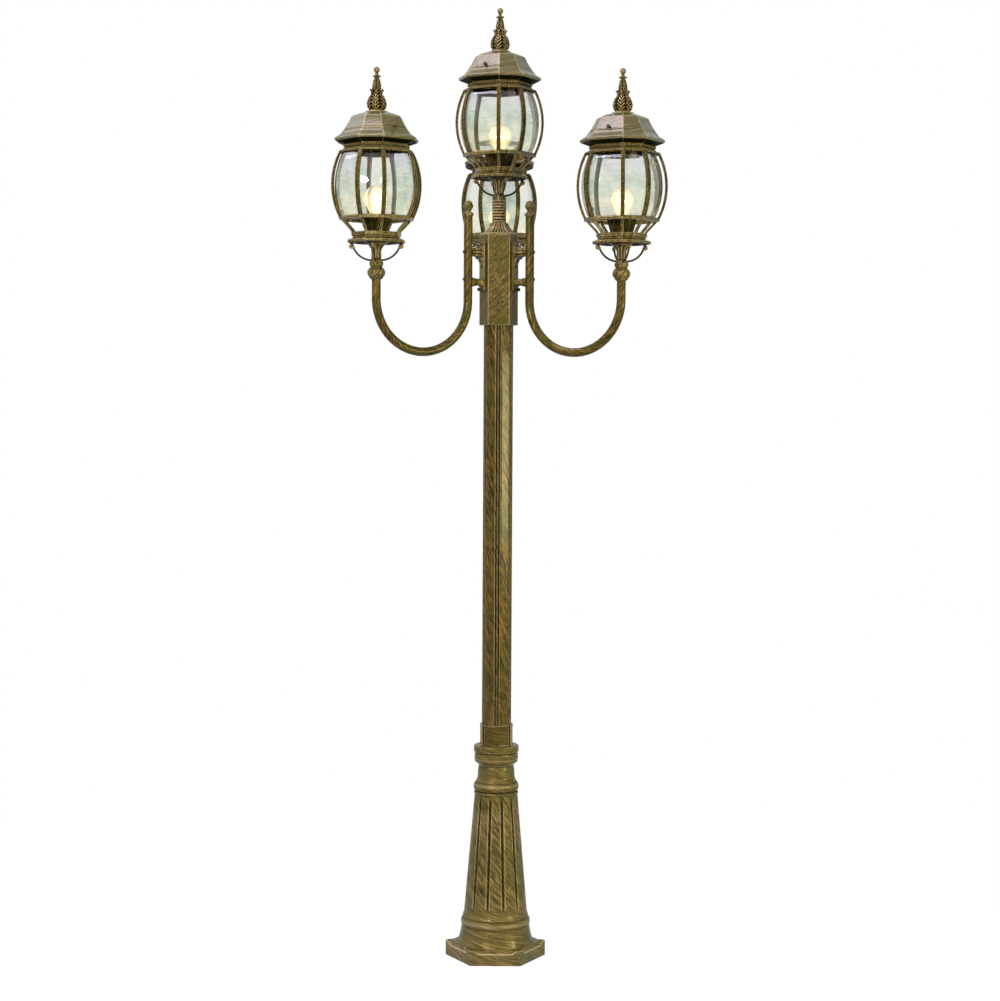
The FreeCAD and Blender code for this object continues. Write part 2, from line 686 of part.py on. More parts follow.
def small_screw(name, tip, seat):
    """A screw along X with a domed head that lies on seat."""
    solid = turned(name, [
        ("0", tip),
        ("screw_radius", tip),
        ("screw_radius", f"({seat})"),
        ("screw_head", f"({seat})"),
        ("screw_head", f"({seat}) + screw_head_height / 3"),
        ("screw_head / 2", f"({seat}) + screw_head_height"),
        ("0", f"({seat}) + screw_head_height"),
    ])
    return lying(name + "_out", solid)


def arm_hub():
    bar = column("hub_bar", hub_plan("hub_corner_radius"), "hub_foot", "hub_height")
    bore = rod("hub_bore", "pole_bore", "hub_foot - 1", "hub_height + 2")
    ways = []
    for name, radius, height in (
        ("hub_lead_way", "lead_hole", "lead_height"),
        ("hub_plate_way", "screw_hole", "plate_screw_height"),
        ("hub_bolt_way_low", "bolt_hole", "lower_bolt_height"),
        ("hub_bolt_way_high", "bolt_hole", "upper_bolt_height"),
    ):
        ways += around(name + "s", pin(name, radius, "pole_corner_radius - 1", "10", z=height), ARMS)
    front = "arm_left + 60"
    heights = ["hub_foot + hub_screw_low", "hub_foot + hub_screw_low + hub_screw_gap"]
    screw = small_screw("hub_screw", "pole_bore", "hub_wide_flat")
    screws = []
    for i, height in enumerate(heights):
        way = pin(f"hub_screw_way_{i}", "screw_hole", "pole_corner_radius - 1", "6", z=height)
        ways.append(moved(f"hub_front_way_{i}", way, angle=front))
        screws.append(moved(f"hub_screw_there_{i}", screw, z=height, angle=front))
    node("arm_hub", cut("hub_cut", bar, [bore] + ways))
    node("hub_screws", grouped("hub_screw_set", screws))


def hub_cap():
    rim_top = "hub_top + cap_rim_height"
    rise = "(cap_height - cap_rim_height)"
    fall = "(hub_corner_radius - cap_top_radius)"
    body = lofted("cap_body", hub_plan, [
        ("hub_top", "hub_corner_radius + cap_rim"),
        (rim_top, "hub_corner_radius + cap_rim"),
        (f"{rim_top} + 0.05 * {rise}", "hub_corner_radius - 2"),
        (f"{rim_top} + 0.25 * {rise}", f"cap_top_radius + 0.55 * {fall}"),
        (f"{rim_top} + 0.5 * {rise}", f"cap_top_radius + 0.26 * {fall}"),
        (f"{rim_top} + 0.75 * {rise}", f"cap_top_radius + 0.08 * {fall}"),
        ("cap_top", "cap_top_radius"),
    ])
    hollow = turned("cap_hollow", [
        ("0", "hub_top - 1"),
        ("hub_wide_flat - cap_wall", "hub_top - 1"),
        ("hub_wide_flat - cap_wall", "hub_top"),
        ("cap_top_radius - 2 * cap_wall", "cap_top - 2.5 * cap_wall"),
        ("nipple_bore", "cap_top - 2.5 * cap_wall"),
        ("nipple_bore", "cap_top + 1"),
        ("0", "cap_top + 1"),
    ])
    return node("hub_cap", cut("cap_cut", body, [hollow]))


def top_coupler():
    root = "coupler_radius - coupler_rib"
    section = [("nipple_bore", "cap_top"), (root, "cap_top")]
    for i in range(int(number("coupler_ribs"))):
        section += [
            (root, f"cap_top + ({i} + 0.2) * rib_pitch", "coupler_rib"),
            (root, f"cap_top + ({i} + 0.95) * rib_pitch"),
        ]
    section += [
        ("coupler_radius - 1", "top_seat - coupler_collar"),
        ("coupler_radius - 1", "top_seat - 1"),
        ("coupler_radius - 2", "top_seat"),
        ("nipple_radius", "top_seat"),
        ("nipple_radius", "top_seat + nipple_height"),
        ("nipple_bore", "top_seat + nipple_height"),
    ]
    return node("top_coupler", turned("coupler", section))


# --- arms, drawn along X ---


def arm_path(high_end):
    """From the outer end down, round the bend and up the inner leg to high_end."""
    quarter = "-(1 - cos(45)) * bend_radius"
    return [
        ("arm_reach", "arm_outer_end"),
        ("arm_reach", "bend_height", quarter),
        ("bend_axis", "bend_height - bend_radius", quarter),
        ("arm_root", "bend_height"),
        ("arm_root", high_end),
    ]


def arms():
    bar = piped("arm_bar", arm_path("arm_top"), "arm_radius")
    bore = piped("arm_bore_bar", arm_path("arm_top"), "arm_bore")
    start, through = "arm_root - 2 * arm_radius", "4 * arm_radius"
    ways = [
        pin("arm_bolt_way_high", "bolt_hole", start, through, z="upper_bolt_height"),
        pin("arm_bolt_way_low", "bolt_hole", start, through, z="lower_bolt_height"),
        pin("arm_lead_way", "lead_hole", start, "2 * arm_radius", z="lead_height"),
    ]
    tube = cut("arm_cut", bar, [bore] + ways)
    for arm in ARMS:
        node(arm, tube, angle=arm)

    plug = turned("arm_plug", [
        ("0", "arm_top - plug_depth"),
        ("arm_bore - plug_clearance", "arm_top - plug_depth"),
        ("arm_bore - plug_clearance", "arm_top"),
        ("finial_disc_radius", "arm_top"),
        ("finial_disc_radius", "arm_top + finial_disc_height - 1", "0.4"),
        ("finial_disc_radius - 2", "arm_top + finial_disc_height"),
        ("arm_ball_radius / 2", "arm_top + finial_disc_height + 2"),
        ("arm_ball_radius / 2", "arm_top + finial_disc_height + arm_ball_rise / 2"),
        ("0", "arm_top + finial_disc_height + arm_ball_rise / 2"),
    ])
    knob = ball("arm_ball", "arm_ball_radius", z="arm_top + finial_disc_height + arm_ball_rise")
    finial = moved("arm_finial_there", joined("arm_finial", [plug, knob]), x="arm_root")
    node("arm_finials", grouped("arm_finial_set", around("arm_finial", finial, ARMS)))

    knuckle = turned("knuckle", [
        ("nipple_bore", "arm_outer_end"),
        ("knuckle_socket", "arm_outer_end"),
        ("knuckle_socket", "knuckle_foot"),
        ("arm_radius + 3", "knuckle_foot"),
        ("arm_radius + 4", "knuckle_foot + 2", "knuckle_radius - arm_radius - 4"),
        ("arm_radius + 4", "lantern_seat - knuckle_collar_height - 1"),
        ("knuckle_collar - 1", "lantern_seat - knuckle_collar_height"),
        ("knuckle_collar", "lantern_seat - knuckle_collar_height + 2"),
        ("knuckle_collar", "lantern_seat - 2", "0.5"),
        ("knuckle_collar - 2", "lantern_seat"),
        ("nipple_radius", "lantern_seat"),
        ("nipple_radius", "lantern_seat + nipple_height"),
        ("nipple_bore", "lantern_seat + nipple_height"),
    ])
    there = moved("knuckle_there", knuckle, x="arm_reach")
    node("arm_knuckles", grouped("knuckle_set", around("knuckle", there, ARMS)))


def brackets():
    plate = block("plate", "hub_narrow_flat", "plate_thickness", "plate_width", "plate_foot",
                  "plate_height")
    reach = "arm_root - plate_face"
    spacer = turned("spacer", [
        ("0", "-1"),
        ("spacer_radius - 1", "-1"),
        ("spacer_radius", "2"),
        ("spacer_radius", "5", "-1"),
        ("spacer_waist", f"0.3 * ({reach})", "-0.5"),
        ("spacer_radius - 1", f"0.55 * ({reach})", "1"),
        ("spacer_radius - 1", reach),
        ("0", reach),
    ])
    upper = lying("spacer_high", spacer, x="plate_face", z="upper_bolt_height")
    lower = lying("spacer_low", spacer, x="plate_face", z="lower_spacer_height")
    lug = moved("lug_there", rod("lug", "lug_radius", "plate_foot", "lug_height"), x="plate_face")
    hub_room = block("hub_room", "hub_narrow_flat - lug_radius", "lug_radius", "3 * lug_radius",
                     "plate_foot - 1", "lug_height + 2")
    lug = cut("lug_cut", lug, [hub_room])
    body = joined("bracket_body", [plate, upper, lower, lug])
    saddle = rod("saddle", "arm_radius + bolt_clearance", "bend_height", "arm_top - bend_height")
    start, depth = "hub_narrow_flat - 1", "arm_root - hub_narrow_flat"
    ways = [
        moved("saddle_there", saddle, x="arm_root"),
        pin("bracket_bolt_way_high", "bolt_hole", start, depth, z="upper_bolt_height"),
        pin("bracket_bolt_way_low", "bolt_hole", start, depth, z="lower_bolt_height"),
        pin("bracket_lead_way", "lead_hole", start, depth, z="lead_height"),
        pin("bracket_plate_way", "screw_hole", start, "plate_thickness + 2", z="plate_screw_height"),
    ]
    bracket = cut("bracket_cut", body, ways)
    node("arm_brackets", grouped("bracket_set", around("bracket", bracket, ARMS)))

    far = "arm_root + arm_radius"
    bolt = turned("bolt", [
        ("0", "pole_bore"),
        ("bolt_radius", "pole_bore"),
        ("bolt_radius", f"{far} + bolt_clearance"),
        ("bolt_radius + 1.5", f"{far} + bolt_clearance"),
        ("bolt_radius + 1.5", f"{far} + bolt_tip / 2"),
        ("bolt_radius - 1", f"{far} + bolt_tip"),
        ("0", f"{far} + bolt_tip"),
    ])
    screw = small_screw("plate_screw", "pole_bore", "plate_face")
    kit = [
        lying("bolt_high", bolt, z="upper_bolt_height"),
        lying("bolt_low", bolt, z="lower_bolt_height"),
        moved("plate_screw_there", screw, z="plate_screw_height"),
    ]
    fasteners = []
    for i, piece in enumerate(kit):
        fasteners += around(f"bracket_fastener_{i}", piece, ARMS)
    node("bracket_bolts", grouped("bracket_bolt_set", fasteners))


def supply_leads():
    main = rod("main_lead", "lead_radius", "foot_height", "top_seat + nipple_height - foot_height")
    start = ("arm_reach", "lantern_seat + nipple_height")
    path = [start] + arm_path("lead_height - lead_bend")[1:4] + [
        ("arm_root", "lead_height - lead_bend", "(1 - cos(45)) * lead_bend"),
        ("arm_root - lead_bend", "lead_height"),
        ("lead_radius + 0.5", "lead_height"),
    ]
    branch = piped("arm_lead", path, "lead_radius")
    node("supply_leads", grouped("lead_set", [main] + around("arm_leads", branch, ARMS)))


# --- lantern, drawn on the Z axis with its seat at height 0 ---


def lantern_neck():
    body = turned("neck_body", [
        ("nipple_radius + pivot_clearance", "0"),
        ("neck_foot_radius", "0"),
        ("neck_foot_radius", "neck_foot_height", "-0.6"),
        ("neck_radius", "neck_foot_height + 3"),
        ("neck_radius", "0.55 * neck_height", "-3"),
        ("neck_top_radius", "neck_height - 2"),
        ("neck_top_radius", "neck_height"),
        ("wire_hole", "neck_height"),
        ("wire_hole", "nipple_height + 1"),
        ("nipple_radius + pivot_clearance", "nipple_height + 1"),
    ])
    bar = rod("neck_flute", "neck_flute_radius", "neck_foot_height + 4", "0.5 * neck_height")
    flute = moved("neck_flute_there", bar, x="neck_radius + neck_flute_radius / 2")
    angles = [f"{i} * 360 / neck_flutes" for i in range(int(number("neck_flutes")))]
    return cut("lantern_neck", body, around("neck_flutes", flute, angles))


def lantern_gallery():
    body = lofted("tray_body", octagon, [
        ("neck_height", "tray_radius - 1.5"),
        ("neck_height + 1.5", "tray_radius"),
        ("neck_height + 7", "tray_radius"),
        ("neck_height + 10", "tray_top_radius"),
        ("neck_height + 12", "tray_top_radius - tray_waist"),
        ("neck_height + 15", "tray_top_radius - tray_waist"),
        ("neck_height + 18", "tray_top_radius"),
        ("tray_top - 1.5", "tray_top_radius"),
        ("tray_top", "tray_top_radius - 1.5"),
    ])
    recess = lofted("tray_recess", octagon, [
        ("neck_height - 1", "tray_top_radius - tray_waist - tray_wall"),
        ("tray_top - tray_wall", "tray_top_radius - tray_waist - tray_wall"),
    ])
    boss = rod("tray_boss", "neck_top_radius + 2", "neck_height - 2", "tray_height")
    foot = "tray_top_radius - 1"
    strut = slab("strut", [
        (f"{foot} - strut_depth", "tray_top - 2"),
        (foot, "tray_top - 2"),
        (foot, "tray_top"),
        ("strut_top_radius", "ring_low"),
        ("strut_top_radius - strut_depth", "ring_low"),
        (f"{foot} - strut_depth", "tray_top"),
    ], "strut_width")
    cup = lofted("cup_body", octagon, [
        ("tray_top - 1", "cup_foot_radius"),
        ("tray_top + cup_height", "cup_top_radius"),
    ])
    cup_hollow = lofted("cup_hollow", octagon, [
        ("tray_top + cup_wall", "cup_foot_radius - cup_wall"),
        ("tray_top + cup_height + 1", "cup_top_radius - cup_wall"),
    ])
    tray = cut("tray_cut", body, [cut("tray_recess_ring", recess, [boss])])
    whole = joined("gallery_body", [tray, cup] + around("struts", strut, CORNERS))
    way = rod("tray_way", "wire_hole", "neck_height - 1", "tray_height + 10")
    return cut("lantern_gallery", whole, [cup_hollow, way])


def lantern_cage():
    ring = lofted("ring_body", octagon, [
        ("ring_low", "ring_radius - 3"),
        ("ring_low + 2", "ring_radius"),
        ("ring_top - 3", "ring_radius"),
        ("ring_top", "ring_radius - 2"),
    ])
    crown = lofted("crown_body", octagon, [
        ("lip_low", "ring_radius - 2"),
        ("lip_low + 2", "ring_radius"),
        ("lip_top - 1", "ring_radius"),
        ("lip_top", "band_radius + 2"),
        ("lip_top + 1", "band_radius"),
        ("lip_top + 0.4 * band_height", "band_radius"),
        ("lip_top + 0.45 * band_height", "band_radius - band_groove"),
        ("lip_top + 0.55 * band_height", "band_radius - band_groove"),
        ("lip_top + 0.6 * band_height", "band_radius"),
        ("band_top", "band_radius"),
    ])
    opening = column("ring_opening", octagon("ring_inner_radius"), "ring_low - 1", "ring_height + 2")
    mouth = column("crown_opening", octagon("ring_inner_radius"), "lip_low - 1",
                   "lip_height + band_height + 2")
    rings = [cut("ring_cut", ring, [opening]), cut("crown_cut", crown, [mouth])]
    inner = "rib_end_radius - rib_bead - rib_depth"
    bar = slab("rib_bar", [
        (inner, "ring_top - 1"),
        ("rib_end_radius - rib_bead", "ring_top - 1"),
        ("rib_end_radius - rib_bead", "ring_top", "rib_bulge"),
        ("rib_end_radius - rib_bead", "lip_low"),
        ("rib_end_radius - rib_bead", "lip_low + 1"),
        (inner, "lip_low + 1"),
        (inner, "lip_low", "-rib_bulge"),
        (inner, "ring_top"),
    ], "rib_width")
    bead = slab("rib_bead_bar", [
        ("rib_end_radius - rib_bead - 1", "ring_top - 1"),
        ("rib_end_radius", "ring_top - 1"),
        ("rib_end_radius", "ring_top", "rib_bulge"),
        ("rib_end_radius", "lip_low"),
        ("rib_end_radius", "lip_low + 1"),
        ("rib_end_radius - rib_bead - 1", "lip_low + 1"),
        ("rib_end_radius - rib_bead - 1", "lip_low", "-rib_bulge"),
        ("rib_end_radius - rib_bead - 1", "ring_top"),
    ], "rib_bead_width")
    rib = joined("rib", [bar, bead])
    lug = slab("cage_lug", [
        ("lug_face - lug_thickness", "lip_low"),
        ("ring_inner_radius", "lip_low"),
        ("ring_inner_radius", "lip_low + lug_thickness"),
        ("lug_face", "lip_low + lug_thickness"),
        ("lug_face", "band_top + lug_rise"),
        ("lug_face - lug_thickness", "band_top + lug_rise"),
    ], "lug_width")
    lugs = around("cage_lugs", lug, THUMB_SIDES)
    return joined("lantern_cage", rings + around("ribs", rib, CORNERS) + lugs)


def pane(name, half_angle):
    """A pane bent to the ribs' arc, cut to its place between two corners."""
    corner = "(rib_end_radius - rib_bead - rib_depth - glass_clearance)"
    outer = f"{corner} * cos({half_angle})"
    bulge = f"rib_bulge * cos({half_angle})"
    low, high = "ring_top + glass_clearance", "lip_low - glass_clearance"
    sheet_of_glass = slab(name + "_sheet", [
        (f"{outer} - glass_thickness", low),
        (outer, low, bulge),
        (outer, high),
        (f"{outer} - glass_thickness", high, f"-({bulge})"),
    ], f"3 * {corner} * sin({half_angle})")
    far = "(rib_end_radius + rib_bulge)"
    edge = f"glass_clearance / sin({half_angle})"
    wedge = column(name + "_wedge", [
        (edge, "0"),
        (f"{edge} + {far} * cos({half_angle})", f"-{far} * sin({half_angle})"),
        (f"{edge} + {far} * cos({half_angle})", f"{far} * sin({half_angle})"),
    ], "ring_top", "cage_height")
    return shared(name, sheet_of_glass, wedge)


def lantern_glass():
    panes = around("wide_panes", pane("wide_pane", "wide_angle"), WIDE)
    panes += around("narrow_panes", pane("narrow_pane", "narrow_angle"), NARROW)
    return grouped("lantern_glass", panes)


def lantern_scrolls():
    height = "neck_height - scroll_curl - scroll_gap"
    path = [
        ("neck_foot_radius + 0.2", "scroll_foot_rise", "scroll_bulge"),
        ("tray_top_radius - 5", height),
    ]
    wire = piped("scroll_wire", path, "scroll_radius")
    curl = ball("scroll_end", "scroll_curl", x="tray_top_radius - 1", z=height)
    return grouped("lantern_scrolls", around("scrolls", joined("scroll", [wire, curl]), NARROW))


def lantern_roof():
    body = lofted("roof_body", octagon, [
        ("band_top", "band_radius - 0.5"),
        ("band_top + 0.65 * eave_rise", "eave_radius - 3"),
        ("band_top + eave_rise", "eave_radius"),
        ("band_top + eave_rise + eave_edge", "eave_radius - 1"),
        ("band_top + eave_rise + eave_edge + 0.4 * (slope_rise - eave_rise - eave_edge)",
         "slope_radius + 0.45 * (eave_radius - slope_radius)"),
        ("band_top + slope_rise", "slope_radius"),
        ("band_top + slope_rise + 2.5", "slope_radius - 0.5"),
        ("band_top + slope_rise + 3.5", "wall_foot_radius + 1.5"),
        ("band_top + wall_foot_rise", "wall_foot_radius"),
        ("band_top + shoulder_rise", "shoulder_radius"),
        ("band_top + shoulder_rise + 3", "shoulder_radius - 4"),
        ("band_top + roof_top_rise", "roof_top_radius"),
    ])
    hollow = lofted("roof_hollow", octagon, [
        ("band_top - 1", "ring_inner_radius"),
        ("band_top + 3", "ring_inner_radius"),
        ("band_top + eave_rise", "eave_radius - 2 * roof_wall"),
        ("band_top + eave_rise + eave_edge", "eave_radius - 2 * roof_wall"),
        ("band_top + slope_rise", "slope_radius - 1.4 * roof_wall"),
        ("band_top + wall_foot_rise", "wall_foot_radius - 1.2 * roof_wall"),
        ("band_top + shoulder_rise - roof_wall", "shoulder_radius - roof_wall"),
        ("band_top + roof_top_rise - roof_wall", "roof_top_radius"),
    ])
    collar = rod("roof_collar", "roof_collar_radius", "band_top + roof_top_rise - 2",
                 "roof_collar_height + 2")
    way = pin("thumb_way", "screw_hole", "lug_face", "40", z="thumb_height")
    whole = joined("roof_whole", [body, collar])
    spigot = rod("spigot_way", "finial_stem_radius + plug_clearance",
                 "band_top + roof_top_rise - plug_depth", "2 * plug_depth")
    return cut("lantern_roof", whole, [hollow, spigot] + around("thumb_ways", way, THUMB_SIDES))


def lantern_thumb_screws():
    seat = "(wall_foot_radius * cos(wide_angle))"
    ball_at = f"{seat} + thumb_head_radius + 1.5"
    stem = turned("thumb_stem", [
        ("0", "lug_face + glass_clearance"),
        ("screw_radius", "lug_face + glass_clearance"),
        ("screw_radius", f"{seat} + 0.3"),
        ("screw_head", f"{seat} + 0.3"),
        ("screw_head", f"{seat} + 1.5"),
        ("screw_radius", f"{seat} + 2.2"),
        ("screw_radius", ball_at),
        ("0", ball_at),
    ])
    head = ball("thumb_ball", "thumb_head_radius", z=ball_at)
    screw = lying("thumb_screw_out", joined("thumb_screw", [stem, head]), z="thumb_height")
    return grouped("lantern_thumb_screws", around("thumb_screws", screw, THUMB_SIDES))


def lantern_finial():
    ball_low = "finial_height - 2 * finial_ball_radius"
    body = turned("finial_body", [
        ("0", "-plug_depth / 2"),
        ("finial_stem_radius", "-plug_depth / 2"),
        ("finial_stem_radius", "0"),
        ("finial_foot_radius", "0", "0.8"),
        ("finial_bulb_radius", "finial_bulb_rise", "1.5"),
        ("finial_neck_radius", "finial_neck_rise", "-1"),
        ("finial_crown_radius", "finial_crown_rise"),
        ("finial_bud_radius - 1", "finial_crown_rise + 2", "0.6"),
        ("finial_bud_radius", "finial_bud_rise", "1"),
        ("finial_stem_radius", "finial_stem_rise - 3"),
        ("finial_ring_radius", "finial_stem_rise", "0.8"),
        ("finial_ring_radius - 2", "finial_stem_rise + 3"),
        ("finial_stem_radius", f"{ball_low}"),
        ("finial_stem_radius", f"{ball_low} + finial_ball_radius / 2"),
        ("0", f"{ball_low} + finial_ball_radius / 2"),
    ])
    knob = ball("finial_ball", "finial_ball_radius", z="finial_height - finial_ball_radius")
    return moved("lantern_finial", joined("finial_whole", [body, knob]), z="finial_seat")


def lantern_lampholder():
    bore = "cap_radius + cap_clearance"
    return turned("lantern_lampholder", [
        ("wire_hole / 2", "holder_low"),
        ("holder_radius - 4", "holder_low"),
        ("holder_radius - 3", "holder_low + 3"),
        ("holder_radius", "holder_low + 6"),
        ("holder_radius", "holder_low + holder_height - 5"),
        ("holder_radius - 1.5", "holder_low + holder_height - 4"),
        ("holder_radius - 1.5", "holder_low + holder_height - 1"),
        ("holder_radius - 2.5", "holder_low + holder_height"),
        (bore, "holder_low + holder_height"),
        (bore, "holder_low + holder_floor"),
        ("wire_hole / 2", "holder_low + holder_floor"),
    ])


def lantern_bulb_glass():
    neck = "cap_radius - 0.3"
    neck_top = "holder_low + holder_height + 1"
    centre = "lamp_glass_low + bulb_height - bulb_radius"
    wall = "bulb_wall"
    swell = "0.12 * bulb_radius"
    lens = "bulb_radius * (1 - cos(45))"
    return turned("lantern_bulb_glass", [
        (f"{neck} - {wall}", "lamp_glass_low"),
        (neck, "lamp_glass_low"),
        (neck, neck_top, f"-({swell}) / 2"),
        ("bulb_radius", centre, lens),
        ("0", "lamp_glass_low + bulb_height"),
        ("0", f"lamp_glass_low + bulb_height - {wall}", f"-(bulb_radius - {wall}) * (1 - cos(45))"),
        (f"bulb_radius - {wall}", centre, f"({swell}) / 2"),
        (f"{neck} - {wall}", neck_top),
    ])


def lantern_bulb_cap():
    return turned("lantern_bulb_cap", [
        ("0", "lamp_low"),
        ("cap_radius / 3", "lamp_low"),
        ("cap_radius / 3", "lamp_low + 1.5"),
        ("cap_radius - 3", "lamp_low + 3"),
        ("cap_radius", "lamp_low + 5"),
        ("cap_radius", "lamp_glass_low"),
        ("0", "lamp_glass_low"),
    ])


def lanterns():
    pieces = {
        "neck": lantern_neck(),
        "gallery": lantern_gallery(),
        "cage": lantern_cage(),
        "glass": lantern_glass(),
        "scrolls": lantern_scrolls(),
        "lampholder": lantern_lampholder(),
        "roof": lantern_roof(),
        "thumb_screws": lantern_thumb_screws(),
        "finial": lantern_finial(),
        "bulb_glass": lantern_bulb_glass(),
        "bulb_cap": lantern_bulb_cap(),
    }
    for head in ("top", "left", "right", "rear"):
        if head == "top":
            x, y, z = "0", "0", "top_seat"
        else:
            x, y = polar("arm_reach", f"arm_{head}")
            z = "lantern_seat"
        for name, piece in pieces.items():
            node(f"{head}_{name}", piece, x=x, y=y, z=z, angle=f"turn_{head}")


base_casting()
pole()
base_collar()
arm_hub()
hub_cap()
top_coupler()
arms()
brackets()
supply_leads()
lanterns()
doc.recompute()

faults = [thing.Name for thing in doc.Objects if "Invalid" in thing.State or "Error" in thing.State]
for part in NODES:
    if part.Shape.isNull() or not part.Shape.isValid() or not part.Shape.Solids:
        faults.append(part.Label)
if faults:
    raise RuntimeError(f"not built: {faults}")

os.makedirs("parts", exist_ok=True)
for part in NODES:
    part.Shape.exportStep(f"parts/{part.Label}.step")
    print(f"{part.Label}: {len(part.Shape.Solids)} solids, {part.Shape.Volume / 1000:.1f} cm3")
print(f"{len(NODES)} nodes")
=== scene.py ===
import json
import math

import bmesh
import bpy
from mathutils import Matrix, Quaternion, Vector


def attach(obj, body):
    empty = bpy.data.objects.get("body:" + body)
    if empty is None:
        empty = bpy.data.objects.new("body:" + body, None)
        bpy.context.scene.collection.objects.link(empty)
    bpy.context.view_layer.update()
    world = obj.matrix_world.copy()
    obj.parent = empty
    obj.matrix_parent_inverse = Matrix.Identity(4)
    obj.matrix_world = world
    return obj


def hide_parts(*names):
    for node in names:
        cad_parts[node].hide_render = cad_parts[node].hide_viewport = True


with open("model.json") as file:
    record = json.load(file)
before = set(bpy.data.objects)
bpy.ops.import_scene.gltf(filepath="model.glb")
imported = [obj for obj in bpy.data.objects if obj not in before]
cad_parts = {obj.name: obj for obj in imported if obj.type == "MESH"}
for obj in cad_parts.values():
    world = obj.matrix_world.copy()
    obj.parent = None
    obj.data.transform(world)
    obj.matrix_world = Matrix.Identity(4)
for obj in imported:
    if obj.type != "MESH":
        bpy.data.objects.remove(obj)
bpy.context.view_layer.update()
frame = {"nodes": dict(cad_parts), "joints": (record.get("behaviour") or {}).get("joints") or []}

# Every size below is in millimetres and every angle in degrees, as in the construction, unless
# its comment says otherwise. Shapes are made in millimetres and become metres in Shape.mesh.
MM = 0.001
# how far each lantern is turned on its pivot
TURNS = {"top": 16, "left": 265.8, "right": 15, "rear": 135}
# where the arms stand about the post
ARM_ANGLES = {"left": 210, "right": 330, "rear": 90}


# --- camera, placed in metres as the photograph was taken ---

CAMERA_PLACE = Vector((0, -5.21, 1.415))
CAMERA_AIM = Vector((0.006, 0, 1.1645))
CAMERA_ROLL = math.radians(0.31)
CAMERA_LENS = 74


def add_camera():
    data = bpy.data.cameras.new("camera")
    data.lens = CAMERA_LENS
    camera = bpy.data.objects.new("camera", data)
    bpy.context.scene.collection.objects.link(camera)
    camera.location = CAMERA_PLACE
    aim = (CAMERA_AIM - CAMERA_PLACE).to_track_quat("-Z", "Y")
    camera.rotation_mode = "QUATERNION"
    camera.rotation_quaternion = aim @ Quaternion((0, 0, 1), CAMERA_ROLL)
    bpy.context.scene.camera = camera
    bpy.context.scene.view_settings.view_transform = "Standard"


# --- outlines: lists of (x, y, mark), where mark is 1 on a rubbed edge that also paints its highlight, and -1 in a crease, where it paints shade ---

ARC_STEPS = 6
# in radians: a line that turns by less than CORNER has no edge there, and one that turns by the
# angle below has a full mark: a rubbed edge with a painted highlight on an outer corner, painted shade in a
# crease
CORNER = math.radians(14)
FULL_MARK_TURN = 0.9
# a corner takes at most one part in this many of the line on either side, and becomes five points
LINE_PARTS = 4.2
CORNER_POINTS = 5


def arc(a, b, bulge, steps):
    """Points from a up to b, without b, on an arc that bulges to the right of the way."""
    chord = b - a
    half = chord.length / 2
    radius = (half * half + bulge * bulge) / (2 * abs(bulge))
    right = Vector((chord.y, -chord.x)).normalized()
    centre = (a + b) / 2 + right * (bulge - math.copysign(radius, bulge))
    start = math.atan2(a.y - centre.y, a.x - centre.x)
    sweep = 4 * math.atan(bulge / half)
    angles = [start + sweep * i / steps for i in range(steps)]
    return [centre + radius * Vector((math.cos(t), math.sin(t))) for t in angles]


def outline(points, size=0.8, closed=False, steps=ARC_STEPS, low=0):
    """Lines and arcs through (x, y) or (x, y, bulge) points, with corners rounded by size.

    Each y is counted from low.
    """
    points = [(x, low + y, *bulge) for x, y, *bulge in points]
    line = []
    count = len(points) if closed else len(points) - 1
    for i in range(count):
        a, b = Vector(points[i][:2]), Vector(points[(i + 1) % len(points)][:2])
        line += arc(a, b, points[i][2], steps) if len(points[i]) == 3 else [a]
    if not closed:
        line.append(Vector(points[-1][:2]))
    return rounded(line, size, closed)


def rounded(line, size, closed):
    """Each sharp corner becomes a small arc between two points that carry no mark."""
    found = []
    for i, here in enumerate(line):
        if not closed and i in (0, len(line) - 1):
            found.append((here.x, here.y, 0))
            continue
        back = line[i - 1] - here
        ahead = line[(i + 1) % len(line)] - here
        turn = math.pi - back.angle(ahead, 0)
        if turn < CORNER:
            found.append((here.x, here.y, 0))
            continue
        left = back.x * ahead.y - back.y * ahead.x < 0
        mark = min(1, turn / FULL_MARK_TURN) * (1 if left else -1)
        reach = min(size, back.length / LINE_PARTS, ahead.length / LINE_PARTS)
        a, b = here + back.normalized() * reach, here + ahead.normalized() * reach
        middle = (a + b + 2 * here) / 4
        before, after = here + back.normalized() * 2 * reach, here + ahead.normalized() * 2 * reach
        for place, outline_mark in ((before, 0), (a, mark / 2), (middle, mark), (b, mark / 2), (after, 0)):
            found.append((place.x, place.y, outline_mark))
    return found


def polar(radius, turn, z=0):
    """The point at an angle, in radians, about an axis. z, its height or its mark, is kept."""
    return radius * math.cos(turn), radius * math.sin(turn), z


def circle(count):
    """A round plan, as a function of its radius. A plan's points are (x, y, mark)."""
    turns = [2 * math.pi * i / count for i in range(count)]
    return lambda radius: [polar(radius, t) for t in turns]


def cornered(angles, size=1.2, flat_steps=1):
    """A plan with a corner at each angle and flats of so many steps, as a function of its radius."""
    turns = [math.radians(a) for a in angles]

    def plan(radius):
        ring = rounded([Vector(polar(radius, t)[:2]) for t in turns], size, True)
        found = []
        for i, here in enumerate(ring):
            on_flat = i % CORNER_POINTS == CORNER_POINTS - 1
            found += stretch(here, ring[(i + 1) % len(ring)], flat_steps if on_flat else 1)
        return found

    return plan


def stretch(here, there, steps):
    """Even steps from one outline point up to the next."""
    return [tuple(a + (b - a) * i / steps for a, b in zip(here, there)) for i in range(steps)]


# a lantern's narrow and wide sides
NARROW = (0, 90, 180, 270)
WIDE = (45, 135, 225, 315)
NARROW_HALF = 17.5
CORNER_ANGLES = [q + s * NARROW_HALF for q in NARROW for s in (-1, 1)]
OCTAGON = cornered(CORNER_ANGLES)
